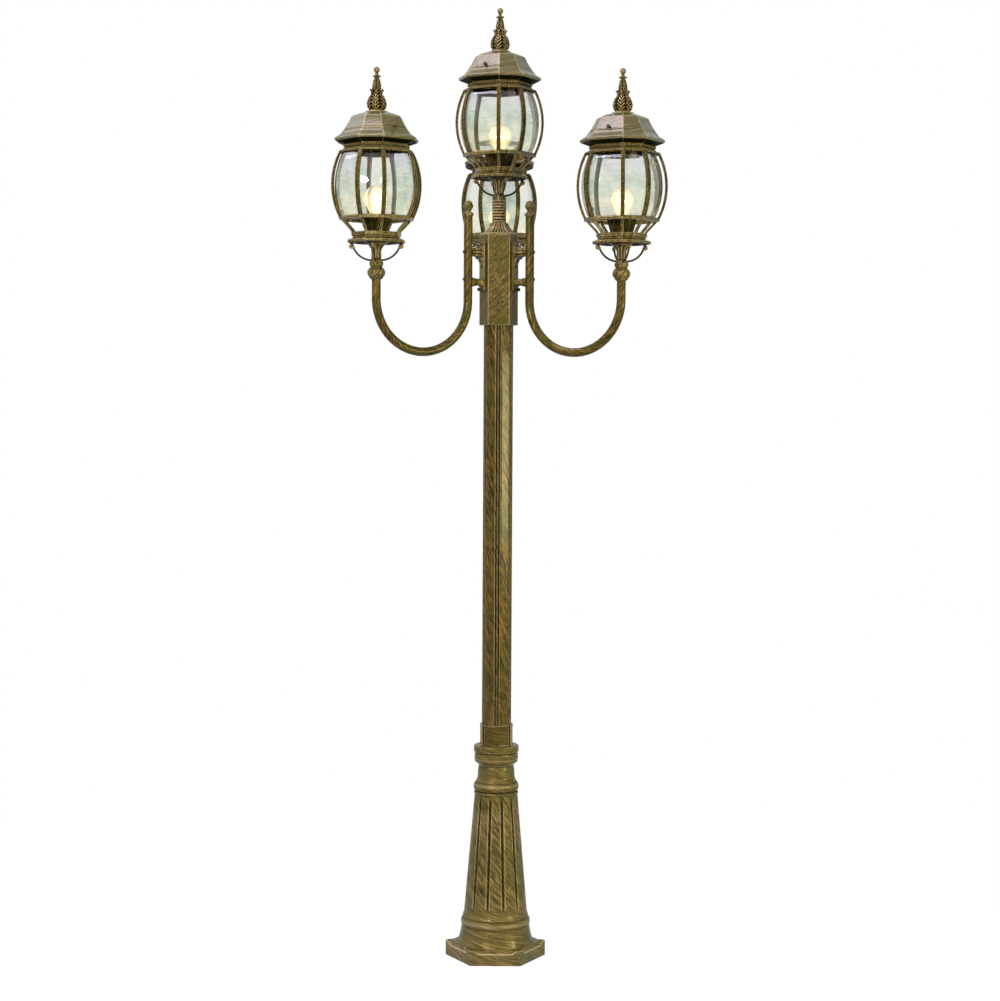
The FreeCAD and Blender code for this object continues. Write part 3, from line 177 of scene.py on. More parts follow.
# half of what the hub's plain faces, and its faces behind the arms, span about the post
HUB_PLAIN_HALF = 33.2
HUB_HALF = 60 - HUB_PLAIN_HALF
HUB_ANGLES = [a + s * HUB_HALF for a in sorted(ARM_ANGLES.values()) for s in (-1, 1)]


def turn_about(angle):
    return Matrix.Rotation(math.radians(angle), 4, "Z")


def shift(x=0, y=0, z=0):
    return Matrix.Translation((x, y, z))


LYING = Matrix.Rotation(math.radians(90), 4, "Y")


def spaced(start, stop, step):
    """Even steps from start to stop, both included, about as long as step."""
    count = max(1, round((stop - start) / step))
    return [start + (stop - start) * i / count for i in range(count + 1)]


def smooth(low, high, value):
    """0 at low, 1 at high, and an S-shaped rise in between."""
    t = min(1, max(0, (value - low) / (high - low)))
    return t * t * (3 - 2 * t)


def refined(profile, step):
    """A profile with extra points, so that no stretch is longer than step."""
    found = [profile[0]]
    for here, there in zip(profile, profile[1:]):
        gap = math.dist(here[:2], there[:2])
        found += stretch(here, there, max(1, math.ceil(gap / step)))[1:] + [there]
    return found


# --- shapes ---

# a turned piece's mean radius for the brush marks, as a share of its largest
MEAN_SHARE = 0.8
# what the brush marks move on by inside a bore, where none of them shows
BORE_STEP = 5
# a turned piece has no smaller radius than this, not even on its axis
LEAST_RADIUS = 0.01
SHARP = math.radians(38)
# points closer than this, in metres, are one point
WELD = 2e-6


class Shape:
    """The shells of one piece and what its material reads at each point.

    grain is the point's place on a straight bar of the shell's mean radius, twist is how
    far the brush marks have wound round that bar there, and relief is the outline's mark. The
    paint shows a high relief as a rubbed edge with a painted highlight, and a low one as painted
    shade.
    """

    def __init__(self):
        self.points, self.faces, self.grain, self.twist, self.relief = [], [], [], [], []

    def skin(self, rings, angles, along, mean, relief, loop=False, place=None, slope=1.0):
        """A surface through rings of as many points, at distances along the piece.

        It is closed by caps, or with loop by joining the last ring to the first. slope says
        how steeply the brush marks wind, at each ring or all along.
        """
        count, first = len(rings[0]), len(self.points)
        place = place or Matrix()
        slopes = slope if isinstance(slope, list) else [slope] * len(rings)
        wound = [0.0]
        for j in range(1, len(rings)):
            wound.append(wound[-1] - slopes[j] * (along[j] - along[j - 1]) / mean)
        for j, ring in enumerate(rings):
            for i, point in enumerate(ring):
                self.points.append(place @ Vector(point))
                self.grain.append(polar(mean, angles[i], along[j]))
                self.twist.append(wound[j])
                self.relief.append(relief[j][i])
        for j in range(len(rings) if loop else len(rings) - 1):
            low = first + j * count
            high = first + (j + 1) % len(rings) * count
            for i in range(count):
                k = (i + 1) % count
                self.faces.append((low + i, low + k, high + k, high + i))
        if not loop:
            last = first + (len(rings) - 1) * count
            self.faces.append(tuple(range(first + count - 1, first - 1, -1)))
            self.faces.append(tuple(range(last, last + count)))

    def turned(self, profile, plan, mean=None, carve=None, loop=False, place=None, bore=(), slope=1.0):
        """A lathe shape, or with a cornered plan a shape with facets.

        carve(angle, radius, z) gives how far a point moves out and up, and what is added to
        its mark. bore adds round inner rings.
        """
        mean = mean or max(p[0] for p in profile) * MEAN_SHARE
        rings, relief, along, gone = [], [], [], 0.0
        for j, (radius, z, outline_mark) in enumerate(profile):
            if j:
                gone += math.dist(profile[j - 1][:2], (radius, z))
            ring, marks = [], []
            held = max(radius, LEAST_RADIUS)
            for x, y, mark in plan(held):
                out, up, carved = carve(math.atan2(y, x), radius, z) if carve else (0, 0, 0)
                grow = 1 + out / held
                ring.append((x * grow, y * grow, z + up))
                marks.append(max(-1, min(1, mark + outline_mark + carved)))
            rings.append(ring)
            relief.append(marks)
            along.append(gone)
        angles = [math.atan2(y, x) for x, y, _ in plan(mean)]
        for radius, z in bore:
            rings.append([polar(radius, t, z) for t in angles])
            relief.append([0] * len(angles))
            along.append(along[-1] + BORE_STEP)
        self.skin(rings, angles, along, mean, relief, loop or bool(bore), place=place, slope=slope)

    def swept(self, path, section, side, closed=False, place=None, mean=None, slope=1.0):
        """A bar along 3-D points. section(s) gives (u, v, mark): u along side, v off the path."""
        count = len(path)
        rings, relief, along, gone = [], [], [], 0.0
        for i, here in enumerate(path):
            if closed:
                tangent = path[(i + 1) % count] - path[i - 1]
            else:
                tangent = path[min(i + 1, count - 1)] - path[max(i - 1, 0)]
            off = tangent.normalized().cross(side)
            if i:
                gone += (here - path[i - 1]).length
            ring = section(gone)
            rings.append([here + u * side + v * off for u, v, _ in ring])
            relief.append([mark for _, _, mark in ring])
            along.append(gone)
        angles = [math.atan2(v, u) for u, v, _ in section(0)]
        mean = mean or max(math.hypot(u, v) for u, v, _ in section(0))
        self.skin(rings, angles, along, mean, relief, closed, place=place, slope=slope)

    def slab(self, points, width, size=0.8, place=None, face_shade=0.0):
        """A plate whose side view is drawn in the XZ plane, centred on that plane.

        Its last argument is its mark away from its edges, which paints shade there when it is below 0.
        """
        edge = outline(points, size, closed=True)
        line = [Vector(p[:2]) for p in edge]
        inner = []
        for i, here in enumerate(line):
            way = (line[(i + 1) % len(line)] - line[i - 1]).normalized()
            inner.append(here + Vector((-way.y, way.x)) * size)
        rings, relief, along = [], [], []
        half = width / 2
        for drawn, y, outline_mark in ((inner, half, 0), (line, half - size, 1),
                               (line, size - half, 1), (inner, -half, 0)):
            rings.append([(p.x, y, p.y) for p in drawn])
            relief.append([max(outline_mark * 0.4, mark) or face_shade for _, _, mark in edge])
            along.append(half - y)
        angles = [2 * math.pi * i / len(line) for i in range(len(line))]
        self.skin(rings, angles, along, width, relief, place=place)

    def ball(self, radius, place, mark, count):
        steps = [math.pi * i / (count // 2) - math.pi / 2 for i in range(count // 2 + 1)]
        profile = [(radius * math.cos(t), radius * math.sin(t), mark) for t in steps]
        self.turned(profile, circle(count), place=place, mean=radius)

    def mesh(self, name):
        """The mesh in metres, with its attributes, welded where points meet."""
        mesh = bpy.data.meshes.new(name)
        mesh.from_pydata([p * MM for p in self.points], [], self.faces)
        grain = mesh.attributes.new("grain", "FLOAT_VECTOR", "POINT")
        grain.data.foreach_set("vector", [c * MM for bar in self.grain for c in bar])
        for key, values in (("twist", self.twist), ("relief", self.relief)):
            mesh.attributes.new(key, "FLOAT", "POINT").data.foreach_set("value", values)
        work = bmesh.new()
        work.from_mesh(mesh)
        bmesh.ops.remove_doubles(work, verts=work.verts, dist=WELD)
        bmesh.ops.recalc_face_normals(work, faces=work.faces)
        work.to_mesh(mesh)
        work.free()
        mesh.shade_smooth()
        mesh.set_sharp_from_angle(angle=SHARP)
        return mesh


def add_piece(name, mesh, material, body, nodes=(), place=None):
    """Put a mesh in its place, on its body, in place of the construction's nodes."""
    piece = bpy.data.objects.new(name, mesh)
    bpy.context.scene.collection.objects.link(piece)
    mesh.materials.clear()
    mesh.materials.append(material)
    piece.matrix_world = place or Matrix()
    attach(piece, body)
    if nodes:
        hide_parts(*nodes)
    facets = piece.modifiers.new("facets", "WEIGHTED_NORMAL")
    facets.keep_sharp = True
    return piece


# --- materials ---


class Tree:
    """Short words for building the nodes of a material or of the world."""

    def __init__(self, owner):
        self.owner = owner
        owner.use_nodes = True
        self.nodes = owner.node_tree.nodes
        self.nodes.clear()

    def add(self, kind, settings=None, **inputs):
        made = self.nodes.new("ShaderNode" + kind)
        for key, value in (settings or {}).items():
            setattr(made, key, value)
        for key, value in inputs.items():
            self.feed(made.inputs[key.replace("_", " ")], value)
        return made

    def feed(self, socket, value):
        if isinstance(value, bpy.types.NodeSocket):
            self.owner.node_tree.links.new(value, socket)
        else:
            socket.default_value = value

    def work_out(self, kind, operation, values):
        made = self.add(kind, {"operation": operation})
        for socket, value in zip(made.inputs, values):
            self.feed(socket, value)
        return made.outputs[0]

    def math(self, operation, *values):
        return self.work_out("Math", operation, values)

    def times(self, *values):
        return self.work_out("Math", "MULTIPLY", values)

    def vector(self, operation, *values):
        return self.work_out("VectorMath", operation, values)

    def read(self, name, output="Fac"):
        return self.add("Attribute", {"attribute_name": name}).outputs[output]

    def place(self, output="Object"):
        return self.add("TexCoord").outputs[output]

    def height(self, place):
        return self.add("SeparateXYZ", Vector=place).outputs["Z"]

    def aside(self):
        """0 where a face is seen straight on, 1 where it is seen along itself."""
        return self.add("LayerWeight", Blend=0.5).outputs["Facing"]

    def noise(self, place, scale, detail=3.0, roughness=0.55):
        made = self.add("TexNoise", Vector=place, Scale=scale, Detail=detail, Roughness=roughness)
        return made.outputs["Fac"]

    def drawn(self, place, across, along, detail=2.0, roughness=0.55):
        """Noise with one scale across the Z axis and another along it."""
        return self.noise(self.vector("MULTIPLY", place, (across, across, along)), 1.0, detail, roughness)

    def bump(self, height, strength, distance):
        return self.add("Bump", Strength=strength, Distance=distance, Height=height).outputs[0]

    def ramp(self, value, *stops):
        made = self.add("ValToRGB", Fac=value)
        bar = made.color_ramp
        while len(bar.elements) < len(stops):
            bar.elements.new(1)
        for element, (place, colour) in zip(bar.elements, stops):
            element.position = place
            element.color = (*colour, 1)
        return made.outputs["Color"]

    def blend(self, share, a, b):
        made = self.add("Mix", {"data_type": "RGBA"})
        for socket, value in zip((made.inputs[0], made.inputs[6], made.inputs[7]), (share, a, b)):
            self.feed(socket, (*value, 1) if isinstance(value, tuple) else value)
        return made.outputs[2]

    def layers(self, colour, *layers):
        """A colour with others laid over it, each given with its share."""
        for share, over in layers:
            colour = self.blend(share, colour, over)
        return colour

    def span(self, value, low, high, to_low=0.0, to_high=1.0):
        made = self.add("MapRange", Value=value, From_Min=low, From_Max=high, To_Min=to_low, To_Max=to_high)
        return made.outputs[0]

    def finish(self, shader, kind="OutputMaterial"):
        self.add(kind, Surface=shader)
        return self.owner

    def paint(self, **inputs):
        """The finished material, with these inputs of its surface."""
        return self.finish(self.add("BsdfPrincipled", **inputs).outputs[0])


def material_tree(name):
    return Tree(bpy.data.materials.new(name))


def seen(red, green, blue):
    """A colour given as it is seen, 0 to 255, turned into light."""
    shares = (red / 255, green / 255, blue / 255)
    return tuple(((c + 0.055) / 1.055) ** 2.4 if c > 0.04 else c / 12.92 for c in shares)


# the strokes' paint; the dark one also paints shade in creases, in grooves and below things
BASE, GOLD, DARK_STROKE_AND_SHADE = seen(100, 87, 30), seen(202, 174, 112), seen(20, 14, 2)
GREEN, WARM = seen(84, 92, 30), seen(164, 108, 44)
# a greener painted shade for faces seen at a low angle, and the colour of rubbed edges, which also paints
# their highlights
GRAZING_SHADE, RUB_AND_HIGHLIGHT = seen(70, 77, 8), seen(214, 190, 144)
# how far from the middle of the strokes' noise the paint goes over to dark or gold
STROKE_REACH = 0.075
# the relief over which the gloss goes out towards a crease, where painted shade darkens it
CREASE = (-0.6, -0.1)


def brushed_bronze(name, shades, width=1.15, lacquer=0.15, contrast=1.0, coat=0.14):
    """Dark bronze paint with golden strokes brushed round the piece, and rubbed edges that
    also carry painted highlights.

    Painted shade darkens its creases and the faces below things, and a greener painted
    shade falls where a face is seen at a low angle. width is a stroke's width.
    """
    tree = material_tree(name)
    grain = tree.read("grain", "Vector")
    turned = tree.add("VectorRotate", {"rotation_type": "Z_AXIS"}, Vector=grain, Angle=tree.read("twist"))
    cloud = tree.add("TexNoise", Vector=grain, Scale=14.0).outputs["Color"]
    drift = tree.add("VectorMath", {"operation": "SCALE"}, Vector=cloud, Scale=0.004)
    sway = tree.vector("ADD", turned.outputs[0], drift.outputs[0])
    per = 1 / (width * MM)
    stroke = tree.drawn(sway, per, per / 20)
    hair = tree.drawn(sway, per * 2.4, per / 9, roughness=0.6)
    sweep = tree.drawn(sway, per / 6, per / 50, roughness=0.5)
    patch = tree.noise(grain, 11.0, roughness=0.6)
    relief = tree.read("relief")
    mixed = tree.math("ADD", tree.times(stroke, 0.56), tree.times(hair, 0.44))
    lifted = tree.math("ADD", mixed, tree.times(tree.math("SUBTRACT", sweep, 0.5), 0.2))
    reach = STROKE_REACH / contrast
    dark, middle, gold = shades
    strokes = tree.ramp(lifted, (0.5 - 1.35 * reach, dark), (0.5 - 0.35 * reach, middle),
                        (0.5 + 0.3 * reach, middle), (0.5 + 1.3 * reach, gold))
    warmth = tree.times(tree.span(sweep, 0.53, 0.68), tree.span(stroke, 0.4, 0.6))
    rub_and_highlight = tree.times(tree.span(relief, 0.15, 0.9), tree.span(stroke, 0.32, 0.55, 0.25, 1.0))
    colour = tree.layers(
        strokes,
        (tree.times(tree.span(patch, 0.42, 0.68), 0.5), GREEN),
        (tree.times(warmth, 0.5), WARM),
        # painted shade, greener and darker, where a face is seen at a low angle
        (tree.span(tree.aside(), 0.28, 0.88, 0.0, 0.9), GRAZING_SHADE),
        # rubbed edges and beads, which also paint their highlights
        (tree.times(rub_and_highlight, 0.85), RUB_AND_HIGHLIGHT),
        # painted shade in creases, in grooves and below things
        (tree.span(relief, -0.1, -0.9, 0.0, 0.9), DARK_STROKE_AND_SHADE),
    )
    return tree.paint(
        Base_Color=colour, Metallic=0.12, Roughness=tree.span(mixed, 0.35, 0.65, 0.42, 0.24),
        Specular_IOR_Level=tree.span(relief, *CREASE, 0.0, 0.05),
        Coat_Weight=tree.span(relief, *CREASE, 0.0, lacquer), Coat_Roughness=coat,
        Normal=tree.bump(lifted, 0.6, 0.0005))


def speckled(name, colour, other, metallic, roughness, scale=180.0):
    """A plain finish with fine mottling."""
    tree = material_tree(name)
    spot = tree.noise(tree.place(), scale, 4.0, 0.6)
    return tree.paint(Base_Color=tree.ramp(spot, (0.35, colour), (0.65, other)), Metallic=metallic,
                      Roughness=tree.span(spot, 0.3, 0.7, roughness, roughness + 0.15),
                      Normal=tree.bump(spot, 0.4, 0.0002))


def scroll_iron():
    """Nearly black rods whose curled ends are rubbed to gold."""
    tree = material_tree("scroll_iron")
    spot = tree.noise(tree.place(), 260.0)
    dark = tree.ramp(spot, (0.35, seen(26, 20, 10)), (0.7, seen(62, 50, 24)))
    rubbed = tree.ramp(spot, (0.35, seen(120, 88, 44)), (0.7, seen(176, 146, 92)))
    share = tree.span(tree.read("relief"), 0.2, 0.8, 0.0, 0.85)
    return tree.paint(Base_Color=tree.blend(share, dark, rubbed), Metallic=0.5, Roughness=0.4)


def pane_glass():
    """Clear drawn glass, faintly green with darker lines.

    It is paler and bluer at its top, a painted reflection, and warmer beside the lamp, a painted glow of its
    light; it is palest in the narrow panes.
    """
    tree = material_tree("pane_glass")
    place = tree.place()
    cloud = tree.noise(place, 26.0, 4.0, 0.65)
    line = tree.drawn(place, 14.0, 230.0, 3.0, 0.6)
    height = tree.height(place)
    clear = tree.ramp(cloud, (0.36, seen(208, 219, 208)), (0.5, seen(226, 233, 222)),
                      (0.64, seen(240, 242, 234)))
    # a pale, bluer painted reflection towards the top of the panes
    sky_reflection = tree.times(tree.span(height, 0.19, 0.262), tree.span(cloud, 0.4, 0.62, 0.2, 0.7))
    # a warmer painted glow of the lamp's light on the panes beside it
    lamp_glow = tree.times(tree.span(height, 0.2, 0.13), tree.span(cloud, 0.42, 0.6, 0.1, 0.6))
    tint = tree.layers(
        clear,
        (tree.span(line, 0.58, 0.72, 0.0, 0.6), seen(168, 178, 160)),
        (sky_reflection, seen(226, 222, 238)),
        (tree.times(tree.read("relief"), 0.7), seen(246, 246, 240)),
        (lamp_glow, seen(252, 244, 220)),
    )
    wave = tree.drawn(place, 16.0, 90.0, roughness=0.5)
    return tree.paint(Base_Color=tint, Roughness=0.02, IOR=1.46, Normal=tree.bump(wave, 0.25, 0.0008),
                      Transmission_Weight=tree.span(tree.aside(), 0.6, 1.0, 1.0, 0.55))


def bulb_glass():
    """The lamp's clear globe, which glows softly with the light inside it."""
    tree = material_tree("bulb_glass")
    height = tree.height(tree.place())
    glow = tree.ramp(tree.span(height, 0.1, 0.185), (0.0, seen(255, 196, 130)), (0.35, seen(255, 232, 186)),
                     (1.0, seen(255, 246, 226)))
    centre = tree.math("POWER", tree.math("SUBTRACT", 1.0, tree.aside()), 1.6)
    return tree.paint(Base_Color=(*seen(255, 250, 238), 1), Roughness=0.01, IOR=1.3, Transmission_Weight=1.0,
                      Emission_Color=glow,
                      Emission_Strength=tree.times(centre, tree.span(height, 0.13, 0.185, 0.42, 0.1)))


def filament_glow():
    tree = material_tree("filament_glow")
    return tree.finish(tree.add("Emission", Color=(1.0, 0.6, 0.22, 1), Strength=90.0).outputs[0])


CAST = brushed_bronze("cast_bronze", (DARK_STROKE_AND_SHADE, BASE, GOLD), contrast=1.45)
HUB = brushed_bronze("hub_bronze", (seen(62, 52, 20), seen(96, 84, 32), seen(180, 154, 98)))
ROOF = brushed_bronze("roof_bronze", (seen(62, 54, 26), seen(104, 96, 56), seen(148, 132, 92)), width=5.0,
                      lacquer=0.6, contrast=0.8, coat=0.26)
TUBE = brushed_bronze("tube_bronze", (DARK_STROKE_AND_SHADE, seen(78, 65, 20), seen(166, 132, 64)), width=1.1, contrast=1.35,
                      coat=0.12)
IRON = scroll_iron()
FASTENER = speckled("dark_fastener", seen(48, 38, 20), seen(92, 76, 44), 0.6, 0.36)
PANE = pane_glass()
BULB = bulb_glass()
LAMP_CAP = speckled("lamp_cap_brass", seen(176, 146, 88), seen(206, 180, 124), 0.9, 0.28)
CERAMIC = speckled("holder_ceramic", seen(226, 222, 210), seen(236, 233, 224), 0.0, 0.3, 60.0)
LEAD = speckled("lead_insulation", seen(24, 24, 24), seen(38, 38, 38), 0.0, 0.55, 90.0)
GLOW = filament_glow()


# --- post ---

# the foot: its corners before and after they are cut round, and its flat sides
FOOT_CORNER = 128
FOOT_TIP = 127.2
FOOT_FLAT = FOOT_CORNER * math.cos(math.radians(30))
FOOT_HEIGHT = 38
# between the bolt pads the foot's edge drops, over a depth inwards. A pad ends so far from its corner.
EDGE_DROP = 9
EDGE_DEPTH = 12
PAD_LENGTH = 14
# the radius of the circle that the anchor holes stand on, and their own
ANCHOR_CIRCLE = 115
ANCHOR_RADIUS = 5
# the base's mean radius for its brush marks, and the mark on its inside, which paints shade in the hollow
BASE_MEAN = 78
INSIDE_SHADE = -0.3
# the angle from flute to flute, where they start and end, half their width and their depth
FLUTE_PITCH = 30
FLUTE_LOW, FLUTE_HIGH = 129, 410
FLUTE_HALF = 3.8
FLUTE_DEPTH = 2.8
BASE_TOP = 542
# the pole's outside at its flats and corners, its inside, its ends, and the bore that guides it
POLE_FLAT, POLE_CORNER = 37.25, 38.6
POLE_INSIDE = 34.2
POLE_LOW, POLE_TOP = 430, 1826
POLE_BORE = 39
# offsets from a flute's middle where the base has points, close together across the flute
FLUTE_STEPS = (-15, -12, -9, -6.4, -4.9, -3.7, -2.8, -1.6, 0, 1.6, 2.8, 3.7, 4.9, 6.4, 9, 12)

BASE_PROFILE = [
    (97, 38, -1.5), (86.5, 82, 2.8), (85.2, 100), (84.4, 101), (84.0, 106, -1.2), (79.6, 126),
    (55, 413), (54.6, 416.5), (55, 417, 1.5), (55, 424), (54, 427), (55.4, 428, 2.8), (54.6, 446),
    (53.4, 447, -1.5), (46.9, 466), (46.9, 475), (44.4, 490, -1.2), (54.5, 500, 1), (54.8, 521),
    (53.6, 523), (57, 526), (57, 538, 1), (54, 542), (40, 542),
]
BASE_INSIDE = [
    (POLE_BORE, 541), (POLE_BORE, POLE_LOW), (POLE_INSIDE, POLE_LOW), (POLE_INSIDE, 418), (49.6, 400),
    (73.6, 126), (80.5, 82), (91, 35), (91, 0),
]
# painted highlights on the base's beads and painted shade in its grooves: height, reach and mark
BEAD_HIGHLIGHTS_AND_GROOVE_SHADES = (
    (92, 8, 0.6), (441, 5, 0.6), (494, 4, 0.7), (507, 5, 0.6),
    (103, 3, -0.7), (414.5, 2, -0.6), (425.5, 2.5, -0.9), (448, 2, -0.8), (524.5, 2.5, -0.9),
)


def post_piece(shape, name, node, material=CAST):
    return add_piece(name, shape.mesh(name), material, "post", [node])


def base_casting():
    angles = [15 + FLUTE_PITCH * i + s for i in range(360 // FLUTE_PITCH) for s in FLUTE_STEPS]
    turns = [math.radians(a) for a in angles]
    rings, relief = [], []
    foot_rings(angles, turns, rings, relief)
    bell_rings(angles, turns, rings, relief)
    for radius, z in BASE_INSIDE:
        rings.append([polar(radius, t, z) for t in turns])
        relief.append([INSIDE_SHADE] * len(turns))
    along = [0.0]
    for here, there in zip(rings, rings[1:]):
        along.append(along[-1] + math.dist(here[0], there[0]))
    shape = Shape()
    slopes = [base_slope(ring[0][2]) for ring in rings]
    shape.skin(rings, turns, along, BASE_MEAN, relief, loop=True, slope=slopes)
    piece = post_piece(shape, "base_casting_shell", "base_casting")
    drill_holes(piece, ANCHOR_CIRCLE, ANCHOR_RADIUS, (-5, FOOT_HEIGHT + 5))


def base_slope(z):
    """How steeply the brush marks wind round the base at a height."""
    return 4.1 * smooth(95, 160, z) - 1.4 - 3.6 * smooth(36, 60, z) - 4 * smooth(412, 430, z)


def foot_rings(angles, turns, rings, relief):
    """The six-sided foot, whose edge stands higher at the bolt pads in its corners.

    pad is 1 on a bolt pad and 0 between the pads, and a height is a function of it.
    """
    from_face = [math.radians((a % 60) - 30) for a in angles]
    half_side = FOOT_FLAT * math.tan(math.radians(30))
    from_corner = [half_side - abs(FOOT_FLAT * math.tan(t)) for t in from_face]
    pad = [1 - smooth(PAD_LENGTH - 1, PAD_LENGTH + 4, s) for s in from_corner]

    def hexagon(inset, height, mark):
        radii = [min((FOOT_FLAT - inset) / math.cos(t), FOOT_TIP - inset) for t in from_face]
        rings.append([polar(r, t, height(p)) for r, t, p in zip(radii, turns, pad)])
        relief.append([mark] * len(turns))

    def foot_top(inset, below=0):
        share = max(0, 1 - inset / EDGE_DEPTH)
        return lambda p: FOOT_HEIGHT - EDGE_DROP * (1 - p) * share - below

    # the small marks on the foot's sides paint light on them; those near and on its rim, and on the ridge
    # inside it, are rubbed edges that also paint their highlights
    for inset, height, mark in ((1, 0, 0), (0, 1, 0.2), (0, 3, 0.25)):
        hexagon(inset, lambda p: height, mark)
    for below, mark in ((3, 0.25), (1.2, 0.6)):
        hexagon(0, foot_top(0, below), mark)
    for inset, mark in ((0.5, 1), (1.5, 0.8), (3, 0), (6, 0), (9, 0), (11, 0), (12.2, 0.3), (13.5, 0)):
        hexagon(inset, foot_top(inset), mark)


def bell_rings(angles, turns, rings, relief):
    """The bell and the ring on top of it, with flutes and their rubbed lips, which also carry
    painted highlights. Painted shade darkens the flutes' hollows and the listed grooves, and
    painted highlights lighten the listed beads.
    """
    for radius, z, mark in refined(outline(BASE_PROFILE, 0.9), 12):
        ring, marks = [], []
        bead_and_groove_light = sum(share * (1 - smooth(0, reach, abs(z - middle))) for middle, reach, share in BEAD_HIGHLIGHTS_AND_GROOVE_SHADES)
        span = smooth(FLUTE_LOW, FLUTE_LOW + 4, z) * (1 - smooth(FLUTE_HIGH - 4, FLUTE_HIGH, z))
        for angle, turn in zip(angles, turns):
            off = abs((angle - 15 + FLUTE_PITCH / 2) % FLUTE_PITCH - FLUTE_PITCH / 2)
            across = math.radians(off) * radius / FLUTE_HALF
            depth = span * math.sqrt(max(0, 1 - across * across))
            edge = 0.9 * span if 0.98 < across < 1.5 else 0
            ring.append(polar(radius - FLUTE_DEPTH * depth, turn, z))
            marks.append(max(-1, min(1, mark + edge + bead_and_groove_light - 0.85 * depth)))
        rings.append(ring)
        relief.append(marks)


def drill_holes(piece, circle_radius, radius, heights):
    """Six round holes through the foot's pads."""
    cutter = Shape()
    for i in range(6):
        profile = [(radius, heights[0], -1), (radius, heights[1], -1)]
        cutter.turned(profile, circle(20), place=turn_about(60 * i) @ shift(circle_radius))
    tool = bpy.data.objects.new("hole_cutter", cutter.mesh("hole_cutter"))
    bpy.context.scene.collection.objects.link(tool)
    cut = piece.modifiers.new("holes", "BOOLEAN")
    cut.operation, cut.solver, cut.object = "DIFFERENCE", "EXACT", tool
    piece.modifiers.move(len(piece.modifiers) - 1, 0)
    facets = piece.modifiers[-1]
    facets.show_viewport = False
    drilled = bpy.data.meshes.new_from_object(piece.evaluated_get(bpy.context.evaluated_depsgraph_get()))
    facets.show_viewport = True
    piece.modifiers.remove(cut)
    piece.data = drilled
    bpy.data.objects.remove(tool)


# the pole's outline from one corner bead's middle to the middle of the next flat
POLE_STEPS = (0, 1.4, 2.6, 3.2, 4.0, 4.8, 5.6, 6.4, 7.2, 8.0, 8.8, 12, 14.6, 16, 22)
# the radius of the grooves beside a bead, and their angle from its middle
POLE_GROOVE = 1.9
POLE_GROOVE_ANGLE = 5.6


def pole_radius(off):
    """The pole's outer radius at an angle from the nearest corner, and its mark: painted shade in
    the grooves, and rubbed edges beside them that also paint their highlights.
    """
    radius = min(POLE_CORNER, POLE_FLAT / math.cos(math.radians(30 - off)))
    across = math.radians(off - POLE_GROOVE_ANGLE) * POLE_CORNER
    if abs(across) < POLE_GROOVE:
        depth = math.sqrt(POLE_GROOVE ** 2 - across ** 2)
        return radius - depth, -1.6 * depth / POLE_GROOVE
    rub_and_highlight = 1 if POLE_GROOVE <= abs(across) < POLE_GROOVE + 0.8 else 0
    return radius, rub_and_highlight


def pole():
    shape = Shape()
    offs = [-s for s in POLE_STEPS[:0:-1]] + list(POLE_STEPS) + [30]
    places = [(30 + 60 * k + off, *pole_radius(abs(off))) for k in range(6) for off in offs]
    turns = [math.radians(a) for a, _, _ in places]
    heights = [POLE_LOW, 600, 900, 1200, 1500, POLE_TOP]
    rings = [[polar(r, t, z) for t, (_, r, _) in zip(turns, places)] for z in heights]
    rings += [[polar(POLE_INSIDE, t, z) for t in turns] for z in (POLE_TOP, POLE_LOW)]
    relief = [[mark for _, _, mark in places] for _ in heights] + [[0] * len(turns)] * 2
    along = heights + [POLE_TOP + 3, POLE_TOP + 1400]
    shape.skin(rings, turns, along, POLE_CORNER, relief, loop=True, slope=-0.35)
    post_piece(shape, "pole_tube", "pole", TUBE)


# the collar's outside at its flats and corners, and its grooves, like the pole's
COLLAR_FLAT, COLLAR_CORNER = 41.5, 44
COLLAR_GROOVE, COLLAR_GROOVE_ANGLE = 2.2, 9.5


def collar_plan(radius):
    """Six flats between cut corners. The side corners are beads between two grooves, the front is plain.

    The grooves get painted shade; the beads and the grooves' edges are rubbed and also paint their
    highlights.
    """
    ring = []
    for angle in spaced(0, 360, 0.75)[:-1]:
        from_flat = abs((angle + 30) % 60 - 30)
        from_side = abs(abs(angle % 180 - 90) - 60)
        reach = min(COLLAR_CORNER, COLLAR_FLAT / math.cos(math.radians(from_flat)))
        across = math.radians(from_side - COLLAR_GROOVE_ANGLE) * COLLAR_CORNER / COLLAR_GROOVE
        depth = math.sqrt(max(0, 1 - across * across))
        rub_and_highlight = 0.8 if from_side < 4 or 1 < abs(across) < 1.5 else 0
        reach = (reach - COLLAR_GROOVE * depth) * radius / COLLAR_CORNER
        ring.append(polar(reach, math.radians(angle), rub_and_highlight - 1.8 * depth))
    return ring


def base_collar():
    shape = Shape()
    profile = outline([(POLE_BORE + 1, 0), (44, 0), (44, 2), (43.5, 4), (43.5, 48), (44.2, 50), (44.2, 53),
                       (POLE_BORE + 1, 53)], 0.9, low=BASE_TOP)
    bore = [(POLE_BORE, BASE_TOP + 52), (POLE_BORE, BASE_TOP + 1)]
    shape.turned(profile, collar_plan, slope=-4.0, bore=bore)
    post_piece(shape, "base_collar_sleeve", "base_collar", TUBE)


HUB_LOW, HUB_TOP = 1607, 1831
HUB_RADIUS = 49
HUB_FACE = HUB_RADIUS * math.cos(math.radians(HUB_HALF))
HUB_FRONT = HUB_RADIUS * math.cos(math.radians(HUB_PLAIN_HALF))


